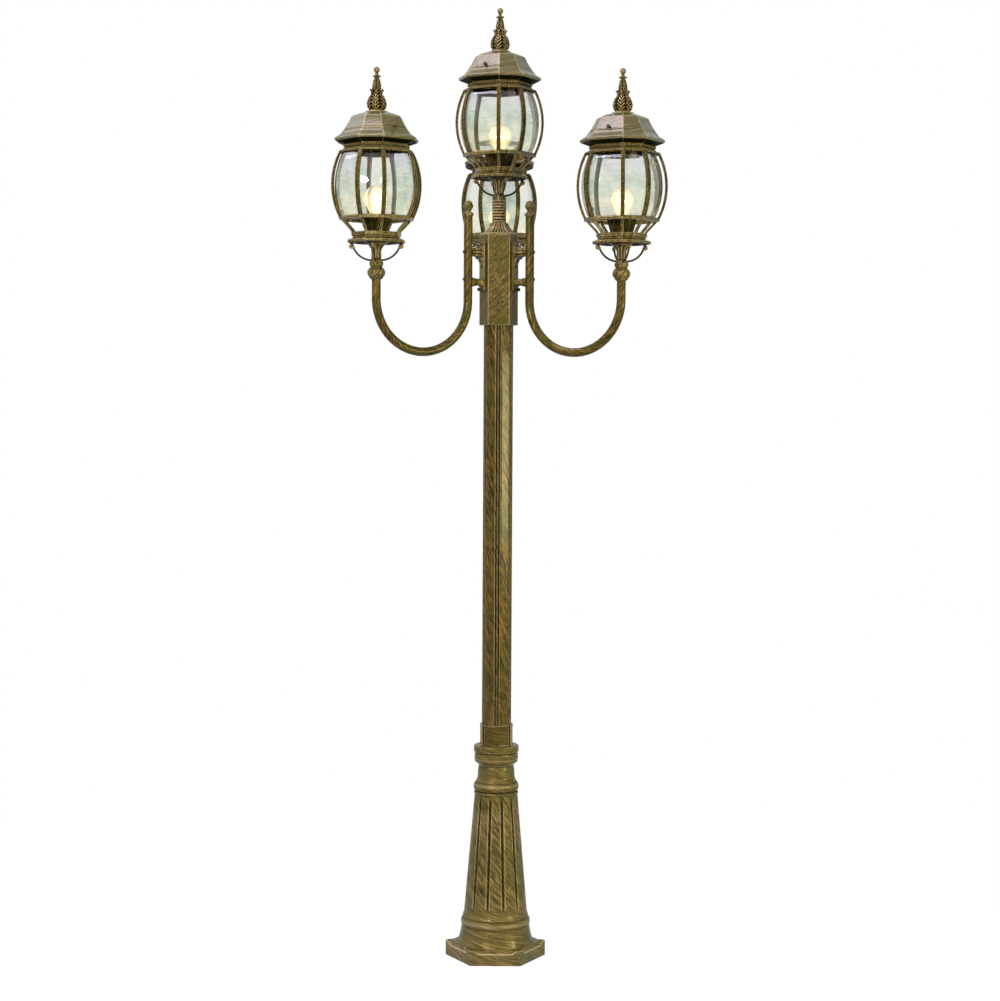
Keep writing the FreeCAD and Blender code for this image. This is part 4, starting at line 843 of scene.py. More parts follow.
def arm_hub():
    shape = Shape()
    profile = outline([(POLE_BORE + 5, HUB_LOW), (HUB_RADIUS, HUB_LOW), (HUB_RADIUS, HUB_TOP),
                       (POLE_BORE + 5, HUB_TOP)], 1.0)
    bore = [(POLE_BORE, HUB_TOP - 1), (POLE_BORE, HUB_LOW + 1)]
    shape.turned(profile, cornered(HUB_ANGLES, 1.3), bore=bore)
    post_piece(shape, "arm_hub_sleeve", "arm_hub", HUB)


# the radius of the beads along the cap's edge, their pitch, and how far out its corners have them
CAP_BEAD, CAP_BEAD_PITCH, CAP_BEAD_REACH = 1.9, 4.4, 48.6


def hub_cap():
    shape = Shape()
    low = HUB_TOP
    profile = refined(outline([
        (38, 0), (50.6, 0), (50.6, 3.5), (46.5, 4.5), (46.2, 6), (37.3, 10.9),
        (29.8, 18.2), (25, 25.6), (23, 33), (6, 33),
    ], 0.8, low=low), 1.2)

    def leaves(angle, _, z):
        """Leaf ribs that fan down each face, over a row of scallops. Their ridges are marked as rubbed
        and painted light as highlights, their hollows painted shade.
        """
        rise = smooth(low + 5, low + 9, z) * (1 - smooth(low + 29, low + 32, z))
        wave = math.cos(angle * 30) * rise
        scallop = math.cos(angle * 42) * smooth(low + 4.5, low + 5.5, z) * (1 - smooth(low + 7, low + 10, z))
        return 0.9 * wave + 0.5 * scallop, 0, 0.9 * wave

    shape.turned(profile, cornered(HUB_ANGLES, 1.2, flat_steps=22), carve=leaves)
    tips = [Vector(polar(1, math.radians(a))) * CAP_BEAD_REACH for a in HUB_ANGLES]
    for here, there in zip(tips, tips[1:] + tips[:1]):
        count = round((there - here).length / CAP_BEAD_PITCH)
        for k in range(count):
            place = here.lerp(there, (k + 0.5) / count)
            shape.ball(CAP_BEAD, shift(place.x, place.y, low + 4.6), 0.9, 10)
    post_piece(shape, "hub_cap_leafed", "hub_cap")


COUPLER_LOW, COUPLER_TOP = 1864, 1930
COUPLER_RIBS, COUPLER_PITCH, COUPLER_RADIUS = 8, 7.25, 16.8


def top_coupler():
    shape = Shape()
    low, high = COUPLER_LOW, COUPLER_TOP
    section = [(4.6, low), (COUPLER_RADIUS, low)]
    for i in range(COUPLER_RIBS):
        section += [(COUPLER_RADIUS, low + (i + 0.15) * COUPLER_PITCH, 1.5),
                    (COUPLER_RADIUS, low + (i + 0.95) * COUPLER_PITCH)]
    section += [(17.3, high - 8), (17.3, high - 1), (16.3, high), (8, high), (8, high + 24), (4.6, high + 24)]

    def rubbed(_, radius, z):
        """Rubbed ribs painted light as highlights and, below the plain top, painted shade in the grooves
        between them.
        """
        groove = (1 - smooth(16.8, 17.2, radius)) * (z < high - 9)
        return 0, 0, 0.8 * smooth(17.4, 18.2, radius) - 0.9 * groove

    shape.turned(outline(section, 0.4), circle(56), loop=True, slope=0.3, carve=rubbed)
    post_piece(shape, "top_coupler_ribbed", "top_coupler")


# arms, drawn along X and then turned about the post: where their outer and inner legs stand,
# their bend, their inner top, the lantern's seat on the knuckle, and the tube's radius
ARM_REACH, ARM_ROOT = 345, 89
BEND_HEIGHT, BEND_RADIUS = 1665, 128
ARM_TOP = 1878
SEAT = 1755
KNUCKLE_FOOT = SEAT - 44
ARM_TUBE = 11
ARM_STEP = 4


def arm_line():
    """The middle of an arm tube, from its outer end round to its top."""
    path = [Vector((ARM_REACH, 0, z)) for z in spaced(KNUCKLE_FOOT + 10, BEND_HEIGHT, ARM_STEP)]
    centre = (ARM_REACH + ARM_ROOT) / 2
    for t in spaced(0, math.pi, ARM_STEP / BEND_RADIUS)[1:-1]:
        path.append(Vector((centre + BEND_RADIUS * math.cos(t), 0, BEND_HEIGHT - BEND_RADIUS * math.sin(t))))
    return path + [Vector((ARM_ROOT, 0, z)) for z in spaced(BEND_HEIGHT, ARM_TOP, ARM_STEP)]


SIDE = Vector((0, 1, 0))


def round_bar(radius, count=20):
    ring = [polar(radius, 2 * math.pi * i / count) for i in range(count)]
    return lambda gone: ring


def rope(radius, pitch, count=10, depth=0.22, rubbed=0.0):
    """A twisted cord's section, which turns as it goes along. Each strand's crown is marked as a
    rubbed edge with a painted highlight and the hollow between strands as painted shade; rubbed
    is added to every mark and paints the whole cord lighter.
    """
    def section(gone):
        turns = [2 * math.pi * i / count for i in range(count)]
        waves = [math.cos(t - 2 * math.pi * gone / pitch) for t in turns]
        return [polar(radius * (1 + depth * w), t, rubbed + 0.9 * w) for t, w in zip(turns, waves)]
    return section


def arms():
    for name, angle in ARM_ANGLES.items():
        shape = Shape()
        shape.swept(arm_line(), round_bar(ARM_TUBE, 28), SIDE, place=turn_about(angle), slope=0.6)
        post_piece(shape, f"arm_{name}_tube", f"arm_{name}", TUBE)


def arm_finials():
    shape = Shape()
    profile = outline([
        (0, -10), (8.8, -10), (8.8, 0), (13, 0, 0.5), (13, 6.5), (11, 7.5), (8.4, 9, -1), (7.6, 14.5),
        (9.4, 16), (12, 22, 1.2), (11.6, 27), (10.6, 28.6, 3.2), (0, 37.5),
    ], 0.5, low=ARM_TOP)
    for angle in ARM_ANGLES.values():
        shape.turned(profile, circle(32), place=turn_about(angle) @ shift(ARM_ROOT))
    post_piece(shape, "arm_finial_balls", "arm_finials")


def arm_knuckles():
    shape = Shape()
    low, high = KNUCKLE_FOOT, SEAT
    profile = outline([
        (11.1, low + 10), (11.1, low), (14, low), (15, low + 2, 0.5), (16.5, low + 4.5),
        (17.5, low + 6, 4.6), (17.5, low + 27), (15.2, low + 29), (14.6, low + 31, -0.6), (15.6, high - 11),
        (17, high - 9), (17, high - 2), (15, high), (8, high), (8, high + 24), (4.6, high + 24),
        (4.6, low + 10),
    ], 0.7)
    for angle in ARM_ANGLES.values():
        shape.turned(profile, circle(40), loop=True, place=turn_about(angle) @ shift(ARM_REACH), slope=0.6)
    post_piece(shape, "arm_knuckle_balls", "arm_knuckles")


PLATE_FOOT = 1692
PLATE_THICK, PLATE_WIDE, PLATE_TALL = 6, 26, 121
PLATE_FACE = HUB_FACE + PLATE_THICK
UPPER_SPACER, LOWER_SPACER = PLATE_FOOT + 96, PLATE_FOOT + 21.5
# the curl on a bracket's plate: outwards from its face and up from its foot
CURL = (
    (-1, 114), (5, 121), (13, 126), (22, 127), (30, 124), (35, 118), (34, 112), (28, 108.5),
    (22, 110), (20, 115), (24, 119),
)


def oblong(wide, deep, size):
    """A bar's section with rounded corners."""
    half, thick = wide / 2, deep / 2
    return outline([(-half, -thick), (half, -thick), (half, thick), (-half, thick)], size, closed=True)


def arm_brackets():
    shape = Shape()
    reach = ARM_ROOT - PLATE_FACE
    hold = reach - 8

    def leaves(angle, _, z):
        # the leaves' ridges are rubbed and paint their highlights, their hollows painted shade
        wave = math.cos(8 * angle) * smooth(2, 6, z)
        return 0.7 * wave, 0, 0.8 * wave

    plain = outline([(0.1, -1), (10.5, -1), (11.5, 2), (11.5, 5, -1), (8.5, 0.3 * reach, -0.5),
                     (10.5, 0.55 * reach, 1), (10.5, hold), (0.1, hold)], 0.6)
    leafed = outline([(0.1, -1), (10.5, -1), (11.5, 2), (9, 0.16 * reach, 1.5), (11.8, 0.5 * reach),
                      (9.5, 0.62 * reach), (10.8, 0.8 * reach), (10.5, hold), (0.1, hold)], 0.6)
    lug = outline([(0.1, 0), (10, 0), (11, 1.5), (11, 6.5), (10, 8), (0.1, 8)], 0.6)
    plate = [(-PLATE_THICK, 0), (0, 0), (0, PLATE_TALL), (-PLATE_THICK, PLATE_TALL)]
    leaf = [(-1, 70), (2, 70), (8, 82), (-1, 80)]
    strip = [(u, v, mark - 0.5) for u, v, mark in oblong(12, 3.2, 0.6)]
    curl = [Vector((PLATE_FACE + x, 0, PLATE_FOOT + z)) for x, z in CURL]

    def on_plate(points):
        return [(PLATE_FACE + x, PLATE_FOOT + z) for x, z in points]

    for angle in ARM_ANGLES.values():
        turn = turn_about(angle)
        # the plate's faces carry painted shade away from their edges
        shape.slab(on_plate(plate), PLATE_WIDE, 1.0, turn, -0.5)
        for spacer, plan, carve, height in ((refined(leafed, 1.2), circle(48), leaves, UPPER_SPACER),
                                            (plain, circle(36), None, LOWER_SPACER)):
            shape.turned(spacer, plan, carve=carve, place=turn @ shift(PLATE_FACE, 0, height) @ LYING)
        shape.turned(lug, circle(32), place=turn @ shift(PLATE_FACE, 0, PLATE_FOOT), carve=shaded_below(9))
        shape.swept(curl, lambda gone: strip, SIDE, place=turn)
        for side in (-1, 1):
            shape.slab(on_plate(leaf), 6, 0.8, turn @ shift(0, 7 * side, 0))
    post_piece(shape, "arm_bracket_castings", "arm_brackets")


def screws():
    """Collar, hub and bracket fasteners. Each is drawn with its head on height 0 and its shank below."""
    head = 3.4
    small = outline([(0.01, -5), (2, -5), (2, 0), (head, 0), (head, 0.8, 0.6), (head / 2, 2.4),
                     (head / 3, 2.4), (head / 3, 1.4), (0.01, 1.4)], 0.3)
    bolt = outline([(0.01, -50), (2.5, -50), (2.5, 0.3), (4, 0.3), (4, 2.2), (2.6, 2.9), (1.5, 4),
                    (0.01, 4)], 0.3)
    angles = ARM_ANGLES.values()
    sets = {
        "collar_screw_heads": ("collar_screws", [(small, a + 60, 44.2, BASE_TOP + 8) for a in angles]),
        "hub_screw_heads": ("hub_screws", [(small, 270, HUB_FRONT, z) for z in (1645, 1664)]),
        "bracket_bolt_ends": ("bracket_bolts", [
            fastener for a in angles for fastener in (
                (bolt, a, ARM_ROOT + ARM_TUBE, UPPER_SPACER),
                (bolt, a, ARM_ROOT + ARM_TUBE, LOWER_SPACER + 6.5),
                (small, a, PLATE_FACE, PLATE_FOOT + 60.5),
            )]),
    }
    for name, (node, fasteners) in sets.items():
        shape = Shape()
        for profile, angle, reach, height in fasteners:
            shape.turned(profile, circle(16), place=turn_about(angle) @ shift(reach, 0, height) @ LYING)
        post_piece(shape, name, node, FASTENER)


# --- lantern, heights counted from its seat ---

# from below: neck, tray, the ring under the glass, the lip above it, and the band under the roof
NECK_TOP, TRAY_TOP = 44, 70
RING_LOW, RING_TOP, LIP_LOW, LIP_TOP, BAND_TOP = 98, 108, 260, 267, 281
RING_RADIUS, RING_OPENING, BAND_RADIUS = 92.5, 76, 81
NECK_BORE = 8.05
# a rib's ends, the middle of its bar there, half of the bar's depth, and its bulge in between
RIB_END = 90
RIB_PATH = RIB_END - 2
RIB_DEEP = 5
RIB_BULGE = 18
RIB_MIDDLE = (RING_TOP + LIP_LOW) / 2
RIB_HALF = (LIP_LOW - RING_TOP) / 2
RIB_ARC = (RIB_HALF ** 2 + RIB_BULGE ** 2) / (2 * RIB_BULGE)
LUG_ANGLES = (45, 225)


def rib_reach(z, end):
    """How far out the ribs' arc through the radius end stands at a height."""
    return end + RIB_BULGE - RIB_ARC + math.sqrt(RIB_ARC ** 2 - (z - RIB_MIDDLE) ** 2)


def shaded_below(height, share=0.9):
    """Painted shade, dark on the faces below a height."""
    return lambda angle, radius, z: (0, 0, -share * (1 - smooth(height - 0.8, height, z)))


def neck_shape():
    shape = Shape()

    def flutes(angle, _, z):
        wave = math.cos(10 * angle)
        rise = smooth(6, 9, z) * (1 - smooth(38, 42, z))
        # the flutes' ridges are rubbed and paint their highlights, their hollows painted shade
        return rise * (0.9 * wave - 0.5), 0, rise * 0.8 * wave

    profile = outline([(NECK_BORE, 0), (14, 0), (14.6, 2), (14, 4), (12, 7), (12, 24, -3), (25, 42),
                       (25, NECK_TOP), (NECK_BORE, NECK_TOP)], 0.5)
    shape.turned(refined(profile, 1.5), circle(80), loop=True, carve=flutes, slope=0.2)
    return shape


def gallery_shape():
    """The tray, the cup on it that holds the lampholder, and eight struts up to the cage's ring."""
    shape = Shape()
    tray = outline([
        (27, 1), (34, 8), (50, 8), (55, 0), (70, 0), (71.5, 1.5), (71.5, 7), (66, 9.4), (62, 10.2),
        (59, 12, -0.3), (59, 15), (62, 18), (62, 24.5), (60.5, 26), (20, 26), (6, 24), (6, 1),
    ], 0.8, closed=True, low=NECK_TOP)
    # painted shade on the tray's underside
    shape.turned(tray, OCTAGON, loop=True, mean=60, slope=0.3, carve=shaded_below(NECK_TOP + 1.8))
    cup = outline([(25, -0.5), (27, -0.5), (29.4, 8), (36.6, 32), (38, 33), (38, 35), (35.5, 35), (25.5, 2)],
                  0.5, closed=True, low=TRAY_TOP)
    # painted shade over the whole cup, which stands below that height
    shape.turned(cup, OCTAGON, loop=True, mean=32, slope=0.3, carve=shaded_below(TRAY_TOP + 60, 0.75))
    bar = oblong(7, 6, 1.0)
    path = [Vector((x, 0, TRAY_TOP + z)) for x, z in
            ((57.5, -2), (58.6, 1), (62, 6), (69, 13.5), (77, 22), (82.5, 28.5))]
    for angle in CORNER_ANGLES:
        shape.swept(path, lambda gone: bar, SIDE, place=turn_about(angle), slope=0.2)
    return shape


def octagon_path(radius, z, step):
    """Points round an eight-sided ring, close enough for a twisted moulding."""
    tips = [Vector(polar(radius, math.radians(a), z)) for a in CORNER_ANGLES]
    path = []
    for here, there in zip(tips, tips[1:] + tips[:1]):
        count = round((there - here).length / step)
        path += [here.lerp(there, k / count) for k in range(count)]
    return path


def cage_shape():
    """The gallery ring, the lip and its band, eight ribs, and two lugs for the thumb screws."""
    shape = Shape()
    ring = outline([
        (RING_OPENING, RING_LOW), (89.5, RING_LOW), (RING_RADIUS, RING_LOW + 2), (RING_RADIUS, RING_TOP - 3),
        (90.5, RING_TOP), (RING_OPENING, RING_TOP),
    ], 0.8, closed=True)
    lip = outline([(RING_OPENING, LIP_LOW), (90.5, LIP_LOW), (RING_RADIUS, LIP_LOW + 2),
                   (RING_RADIUS, LIP_TOP - 1.5), (88, LIP_TOP), (82, LIP_TOP + 0.8), (79, LIP_TOP + 1.4),
                   (78.4, LIP_TOP + 7), (78.4, BAND_TOP - 5), (BAND_RADIUS, BAND_TOP - 2),
                   (BAND_RADIUS, BAND_TOP), (RING_OPENING, BAND_TOP)], 0.6, closed=True)

    def lip_painted_shade(angle, radius, z):
        """Painted shade under the lip and on the band, behind its beads and its twisted cord."""
        under = 1 - smooth(LIP_LOW + 1.6, LIP_LOW + 2.4, z)
        return 0, 0, -0.9 * under - 0.6 * smooth(LIP_TOP + 1, LIP_TOP + 2, z)

    shape.turned(ring, OCTAGON, loop=True, mean=85, slope=0.2)
    shape.turned(lip, OCTAGON, loop=True, mean=85, slope=0.2, carve=lip_painted_shade)
    shape.swept(octagon_path(79.4, BAND_TOP - 4.2, 1.1), rope(2.7, 7.0), Vector((0, 0, 1)), closed=True)
    for place in octagon_path(80.2, LIP_TOP + 2.6, 4.4):
        shape.ball(2.1, shift(*place), 0.5, 8)
    section = outline([(-5, -RIB_DEEP), (5, -RIB_DEEP), (5, 0.6), (3.8, 1.6), (2.6, 0.6), (2.2, -0.4),
                       (-2.2, -0.4), (-2.6, 0.6), (-3.8, 1.6), (-5, 0.6)], 0.4, closed=True)
    # the rib's faces below its beads are marked darker, and its beads as rubbed edges that paint their
    # highlights
    section = [(u, v, mark - 0.45 if v < 0.4 else 1) for u, v, mark in section]

    def rib_path(end, step):
        return [Vector((rib_reach(z, end), 0, z)) for z in spaced(RING_TOP - 1, LIP_LOW + 1, step)]

    bar, cord = rib_path(RIB_PATH, 7), rib_path(RIB_PATH + 0.1, 0.9)
    for angle in CORNER_ANGLES:
        shape.swept(bar, lambda gone: section, SIDE, place=turn_about(angle), mean=6)
        # the cord's mark is lifted, which paints it lighter as rubbed gold with painted highlights
        shape.swept(cord, rope(1.7, 6.0, 8, 0.4, 0.4), SIDE, place=turn_about(angle), mean=6)
    lug = [(57, LIP_LOW), (RING_OPENING + 1, LIP_LOW), (RING_OPENING + 1, LIP_LOW + 4), (61, LIP_LOW + 4),
           (61, BAND_TOP + 45), (57, BAND_TOP + 45)]
    for angle in LUG_ANGLES:
        shape.slab(lug, 16, 0.6, turn_about(angle))
    return shape


GLASS_THICK = 3
GLASS_GAP = 0.3
GLASS_CORNER = RIB_PATH - RIB_DEEP - GLASS_GAP
BEVEL_WIDTH = 9
BEVEL_DEPTH = 1.5


def glass_shape():
    """Eight panes bent to the ribs' arc, each with a bevel round its front.

    The narrow ones have a mark of 1, which their glass reads.
    """
    shape = Shape()
    heights = spaced(RING_TOP + BEVEL_WIDTH, LIP_LOW - BEVEL_WIDTH, 6.5)
    heights = [RING_TOP + GLASS_GAP] + heights + [LIP_LOW - GLASS_GAP]
    for angle, half in [(a, 45 - NARROW_HALF) for a in WIDE] + [(a, NARROW_HALF) for a in NARROW]:
        rings = []
        for z in heights:
            corner = rib_reach(z, GLASS_CORNER)
            away = corner * math.cos(math.radians(half))
            edge = corner * math.sin(math.radians(half)) - GLASS_GAP
            columns = [-edge, BEVEL_WIDTH - edge, 0, edge - BEVEL_WIDTH, edge]
            at_end = z in (heights[0], heights[-1])
            front = [(away - (BEVEL_DEPTH if at_end or abs(y) == edge else 0), y, z) for y in columns]
            rings.append(front + [(away - GLASS_THICK, y, z) for y in reversed(columns)])
        around = len(rings[0])
        relief = [[float(half == NARROW_HALF)] * around] * len(rings)
        shape.skin(rings, [0] * around, heights, 1, relief, place=turn_about(angle))
    return shape


CURL_POINTS = 30


def scrolls_shape():
    """Four thin rods from the neck's foot to the tray's lip, each ending in a curl."""
    shape = Shape()
    line = [Vector((p.x, 0, p.y)) for p in arc(Vector((14.2, 2.6)), Vector((57, 35.2)), 8, 16)]
    centre = Vector((60.5, 0, 37.2))
    curl = []
    for i in range(CURL_POINTS):
        turn = math.radians(200 + 16 * i)
        reach = 5.2 - 3.6 * i / (CURL_POINTS - 1)
        curl.append(centre + Vector((reach * math.cos(turn), 0, reach * math.sin(turn))))
    length = sum((b - a).length for a, b in zip(line, line[1:]))

    def section(gone):
        curled = smooth(length - 4, length + 3, gone)
        return [polar(2.5 + 0.3 * curled, 2 * math.pi * k / 10, curled) for k in range(10)]

    for angle in NARROW:
        shape.swept(line + curl, section, SIDE, place=turn_about(angle))
        for side in (-1, 1):
            shape.ball(3.2, turn_about(angle) @ shift(centre.x, 1.6 * side, centre.z), 1, 12)
    return shape


ROOF_WALL = 79


def roof_shape():
    shape = Shape()
    outside = [
        (76, 0), (BAND_RADIUS, 0), (99, 6.6), (102.4, 8.6), (104, 11), (104, 13.6), (103, 15.4),
        (100.6, 16.4), (98.6, 18.4, -1.4), (85.5, 29), (84.5, 31.2), (82.4, 32.6), (81.6, 33),
        (81.6, 35.2), (79.6, 36.4), (ROOF_WALL, 38, -0.8), (64.5, 63.6), (63, 66.4), (60, 68.4, 0.6),
        (34, 77.5), (27, 78),
    ]
    inside = [(20, 74), (34, 72), (60, 61), (74.2, 37), (78.9, 30), (96, 17), (96, 12), (76, 3)]
    shell = outline(outside + inside, 0.9, closed=True, steps=5, low=BAND_TOP)
    # painted shade under the eave
    shape.turned(shell, OCTAGON, loop=True, mean=70, slope=3.0, carve=shaded_below(BAND_TOP + 8.4))
    collar = [(6, 75), (28, 75), (28.5, 77.5), (28.5, 79), (27, 81), (6, 81)]
    shape.turned(outline(collar, 0.6, low=BAND_TOP), circle(48))
    return shape


def thumb_shape():
    shape = Shape()
    seat = ROOF_WALL * math.cos(math.radians(45 - NARROW_HALF))
    profile = outline([(0.01, 61.3), (2, 61.3), (2, seat + 0.3), (3.4, seat + 0.3), (3.4, seat + 1.5),
                       (2, seat + 2.2), (2.2, seat + 2.8, 2.3), (2.6, seat + 9.6), (0.01, seat + 10.2)], 0.3)
    for angle in LUG_ANGLES:
        shape.turned(profile, circle(18), place=turn_about(angle) @ shift(z=BAND_TOP + 40) @ LYING)
    return shape


FINIAL_LOW = BAND_TOP + 81
LEAVES = 6
# heights above the finial's foot where its bulb starts and where bulb, bud and ribbed cup end
BULB_START, BULB_END, BUD_END, CUP_END = 3, 52, 83, 88
# the top of the finial's tip, a ball that is a little taller than wide
FINIAL_TOP, TIP_RADIUS, TIP_HALF = 108, 7.4, 7.6


def finial_leaves(angle, radius, z):
    """Carved leaves: six round the bulb with flared tips, six slim ones on the bud above. Their veins
    and ribs are marked as rubbed with painted highlights, and the rest of the leaves and the gaps
    between them get painted shade.
    """
    z -= FINIAL_LOW
    pitch = 2 * math.pi / LEAVES
    shifted = angle if z < BULB_END else angle + pitch / 2
    across = abs((shifted + pitch / 2) % pitch - pitch / 2) / (pitch / 2)
    if z < BULB_START or z >= CUP_END:
        return 0, 0, 0
    if z < BULB_END:
        body = smooth(3, 8, z)
        flare = smooth(44, 49, z)
        veins = 0.5 + 0.5 * math.cos(2 * math.pi * ((z - BULB_START) / 42 * 5.0 - across * 1.5))
        rib = math.exp(-(across / 0.1) ** 2)
        gap = smooth(0.72, 0.98, across)
        out = body * (1.3 * veins * (1 - rib) * (1 - gap) + 1.4 * rib - 2.4 * gap)
        out = out * (1 - flare) + flare * (4.0 * (1 - across) ** 1.2 - 4.4 * across)
        return out, 3.2 * flare * (1 - across), body * (2.3 * veins ** 2 * (1 - gap) + rib - 1.3 - 1.2 * gap)
    if z < BUD_END:
        veins = 0.5 + 0.5 * math.cos(2 * math.pi * ((z - BULB_END) / 31 * 3.6 - across * 1.3))
        gap = smooth(0.7, 0.98, across)
        fade = smooth(52, 56, z) * (1 - smooth(79, 83, z))
        return fade * (0.8 * veins - 1.4 * gap), 0, fade * (2 * veins ** 2 - 1.1 - 1.2 * gap)
    return 1.1 * math.cos(8 * angle) * (radius > 6.5), 0, 0


def finial_shape():
    shape = Shape()
    profile = outline([
        (0.01, -5), (5, -5), (5, 0), (19, 0), (19.6, 1.6), (18.6, 3, 1.2), (23.2, 20, 1.6), (13, 42, -0.6),
        (15.4, 49), (14, 50.6), (10, 50.4), (10.2, 54), (10.2, 64), (9, 68, 0.6), (5.6, 80, -0.3),
        (5.2, 82), (9.8, 84.6, 0.2), (8.8, 86.2), (4.8, 88, -0.5), (4.6, 92.6),
    ], 0.4, low=FINIAL_LOW)
    shape.turned(refined(profile, 0.9), circle(108), carve=finial_leaves, mean=16, slope=0.3)
    centre = FINIAL_LOW + FINIAL_TOP - TIP_HALF
    steps = [math.radians(a) for a in range(-90, 91, 10)]
    tip = [(TIP_RADIUS * math.cos(t), centre + TIP_HALF * math.sin(t), 0.3) for t in steps]
    shape.turned(tip, circle(28), mean=7)
    return shape


# the feet of the lampholder, of the lamp's cap and of its glass, and then the globe
HOLDER_LOW = 72.3
CAP_LOW = 75.6
GLASS_LOW = 101.6
BULB_RADIUS = 30
BULB_WALL = 0.8
BULB_NECK = 12.7
BULB_CENTRE = 153.6


def holder_shape():
    shape = Shape()
    profile = outline([(3, 0), (15, 0), (16, 3), (19, 6), (19, 32), (17.5, 33), (17.5, 36), (16.5, 37),
                       (13.06, 37), (13.06, 3), (3, 3)], 0.5, closed=True, low=HOLDER_LOW)
    shape.turned(profile, circle(40), loop=True)
    return shape


def bulb_outline(shrink):
    """A pear-shaped globe: a ball that runs into a straight neck."""
    radius, neck = BULB_RADIUS - shrink, BULB_NECK - shrink
    join = math.radians(35)
    foot = Vector((neck, GLASS_LOW + 3))
    shoulder = Vector((radius * math.cos(join), BULB_CENTRE - radius * math.sin(join)))
    foot_way, shoulder_way = Vector((0, 34)), Vector((math.sin(join), math.cos(join))) * 38
    line = [Vector((neck, GLASS_LOW))]
    # a smooth curve from the neck's end to the ball, which leaves and arrives in the two ways
    for t in spaced(0, 1, 0.1):
        a, b = 2 * t ** 3 - 3 * t ** 2 + 1, t ** 3 - 2 * t ** 2 + t
        c, d = 3 * t ** 2 - 2 * t ** 3, t ** 3 - t ** 2
        line.append(a * foot + b * foot_way + c * shoulder + d * shoulder_way)
    for t in [math.radians(a) for a in range(-30, 91, 6)]:
        line.append(Vector((max(radius * math.cos(t), LEAST_RADIUS), BULB_CENTRE + radius * math.sin(t))))
    return [(p.x, p.y, 0) for p in line]


def bulb_shape():
    shape = Shape()
    shape.turned(bulb_outline(0) + bulb_outline(BULB_WALL)[::-1], circle(48), loop=True)
    return shape


def bulb_cap_shape():
    """The lamp's cap, whose thread is drawn as six rings."""
    shape = Shape()
    low = CAP_LOW
    section = [(0.01, low), (4.3, low), (4.3, low + 1.5), (10, low + 3), (12.4, low + 5)]
    for i in range(6):
        section += [(12.2, low + 6 + 3 * i, 0.7), (12.2, low + 8.6 + 3 * i)]
    section += [(12.9, GLASS_LOW), (0.01, GLASS_LOW)]
    shape.turned(outline(section, 0.3), circle(36))
    return shape


FILAMENT_HEIGHT = GLASS_LOW + 47
FILAMENT_HALF = 12


def stem_shape():
    """The glass stem and the wires that hold the filament."""
    shape = Shape()
    stem = [(0.01, 0.3), (8, 0.3), (6, 6, -1.5), (2.6, 26), (3.4, 30, 1), (0.01, 33)]
    shape.turned(outline(stem, 0.4, low=GLASS_LOW), circle(20))
    for side in (-1, 1):
        path = [Vector((2 * side, 0, GLASS_LOW + 27)), Vector((5 * side, 0, GLASS_LOW + 36)),
                Vector((FILAMENT_HALF * side, 0, FILAMENT_HEIGHT))]
        shape.swept(path, round_bar(0.5, 8), SIDE)
    return shape


def filament_shape():
    """A fine coil that arches between its two wires."""
    shape = Shape()
    coils, points, radius = 24, 8, 1.3
    path = []
    for i in range(coils * points + 1):
        t = i / (coils * points)
        turn = 2 * math.pi * i / points
        height = FILAMENT_HEIGHT + 5 * math.sin(math.pi * t) + radius * math.cos(turn)
        path.append(Vector((FILAMENT_HALF * (2 * t - 1), radius * math.sin(turn), height)))
    shape.swept(path, round_bar(0.55, 6), Vector((0.3, 0.9, 0.3)).normalized())
    return shape


def lanterns():
    """The four lanterns: the same pieces, each turned on its own pivot.

    A kind is the node that it stands for, its shape, material, slot and body, and its name.
    """
    kinds = [
        ("neck", neck_shape(), CAST, "cast_bronze", "head", "neck_fluted"),
        ("gallery", gallery_shape(), CAST, "cast_bronze", "head", "gallery_tray"),
        ("cage", cage_shape(), CAST, "cast_bronze", "head", "cage_frame"),
        ("glass", glass_shape(), PANE, "pane_glass", "head", "bevelled_panes"),
        ("scrolls", scrolls_shape(), IRON, "scroll_iron", "head", "scroll_rods"),
        ("lampholder", holder_shape(), CERAMIC, "holder_ceramic", "head", "lampholder_body"),
        ("roof", roof_shape(), ROOF, "cast_bronze", "lid", "roof_shell"),
        ("thumb_screws", thumb_shape(), FASTENER, "dark_fastener", "lid", "thumb_screw_pair"),
        ("finial", finial_shape(), CAST, "cast_bronze", "lid", "finial_leafed"),
        ("bulb_glass", bulb_shape(), BULB, "bulb_glass", "lamp", "bulb_globe"),
        ("bulb_cap", bulb_cap_shape(), LAMP_CAP, "bulb_cap_metal", "lamp", "bulb_cap_thread"),
        (None, stem_shape(), BULB, "bulb_glass", "lamp", "bulb_stem"),
        (None, filament_shape(), GLOW, "bulb_cap_metal", "lamp", "bulb_filament"),
    ]
    pivots = {j["name"]: j["pos_m"] for j in frame["joints"] if j["name"].endswith("_turn")}
    meshes = {name: shape.mesh(name) for _, shape, _, _, _, name in kinds}
    for head, turn in TURNS.items():
        place = Matrix.Translation(pivots[f"{head}_turn"])
        for node, _, material, slot, body, name in kinds:
            # turned in its mesh, so that the piece's box stays tight
            mesh = meshes[name].copy()
            mesh.transform(turn_about(turn))
            nodes = [f"{head}_{node}"] if node else []
            add_piece(f"{head}_{name}", mesh, material, f"{head}_{body}", nodes, place)


# --- floor, world and lamps ---

# the floor's size, and how far from the post it starts and ends to turn white, in metres
FLOOR_SIZE = 40
FLOOR_NEAR, FLOOR_FAR = 0.8, 2.4
FLOOR_GREY, FLOOR_SHINE = 0.3, 0.84
# the world's light from straight above and from below
LIGHT_ABOVE, LIGHT_BELOW = 0.28, 0.03


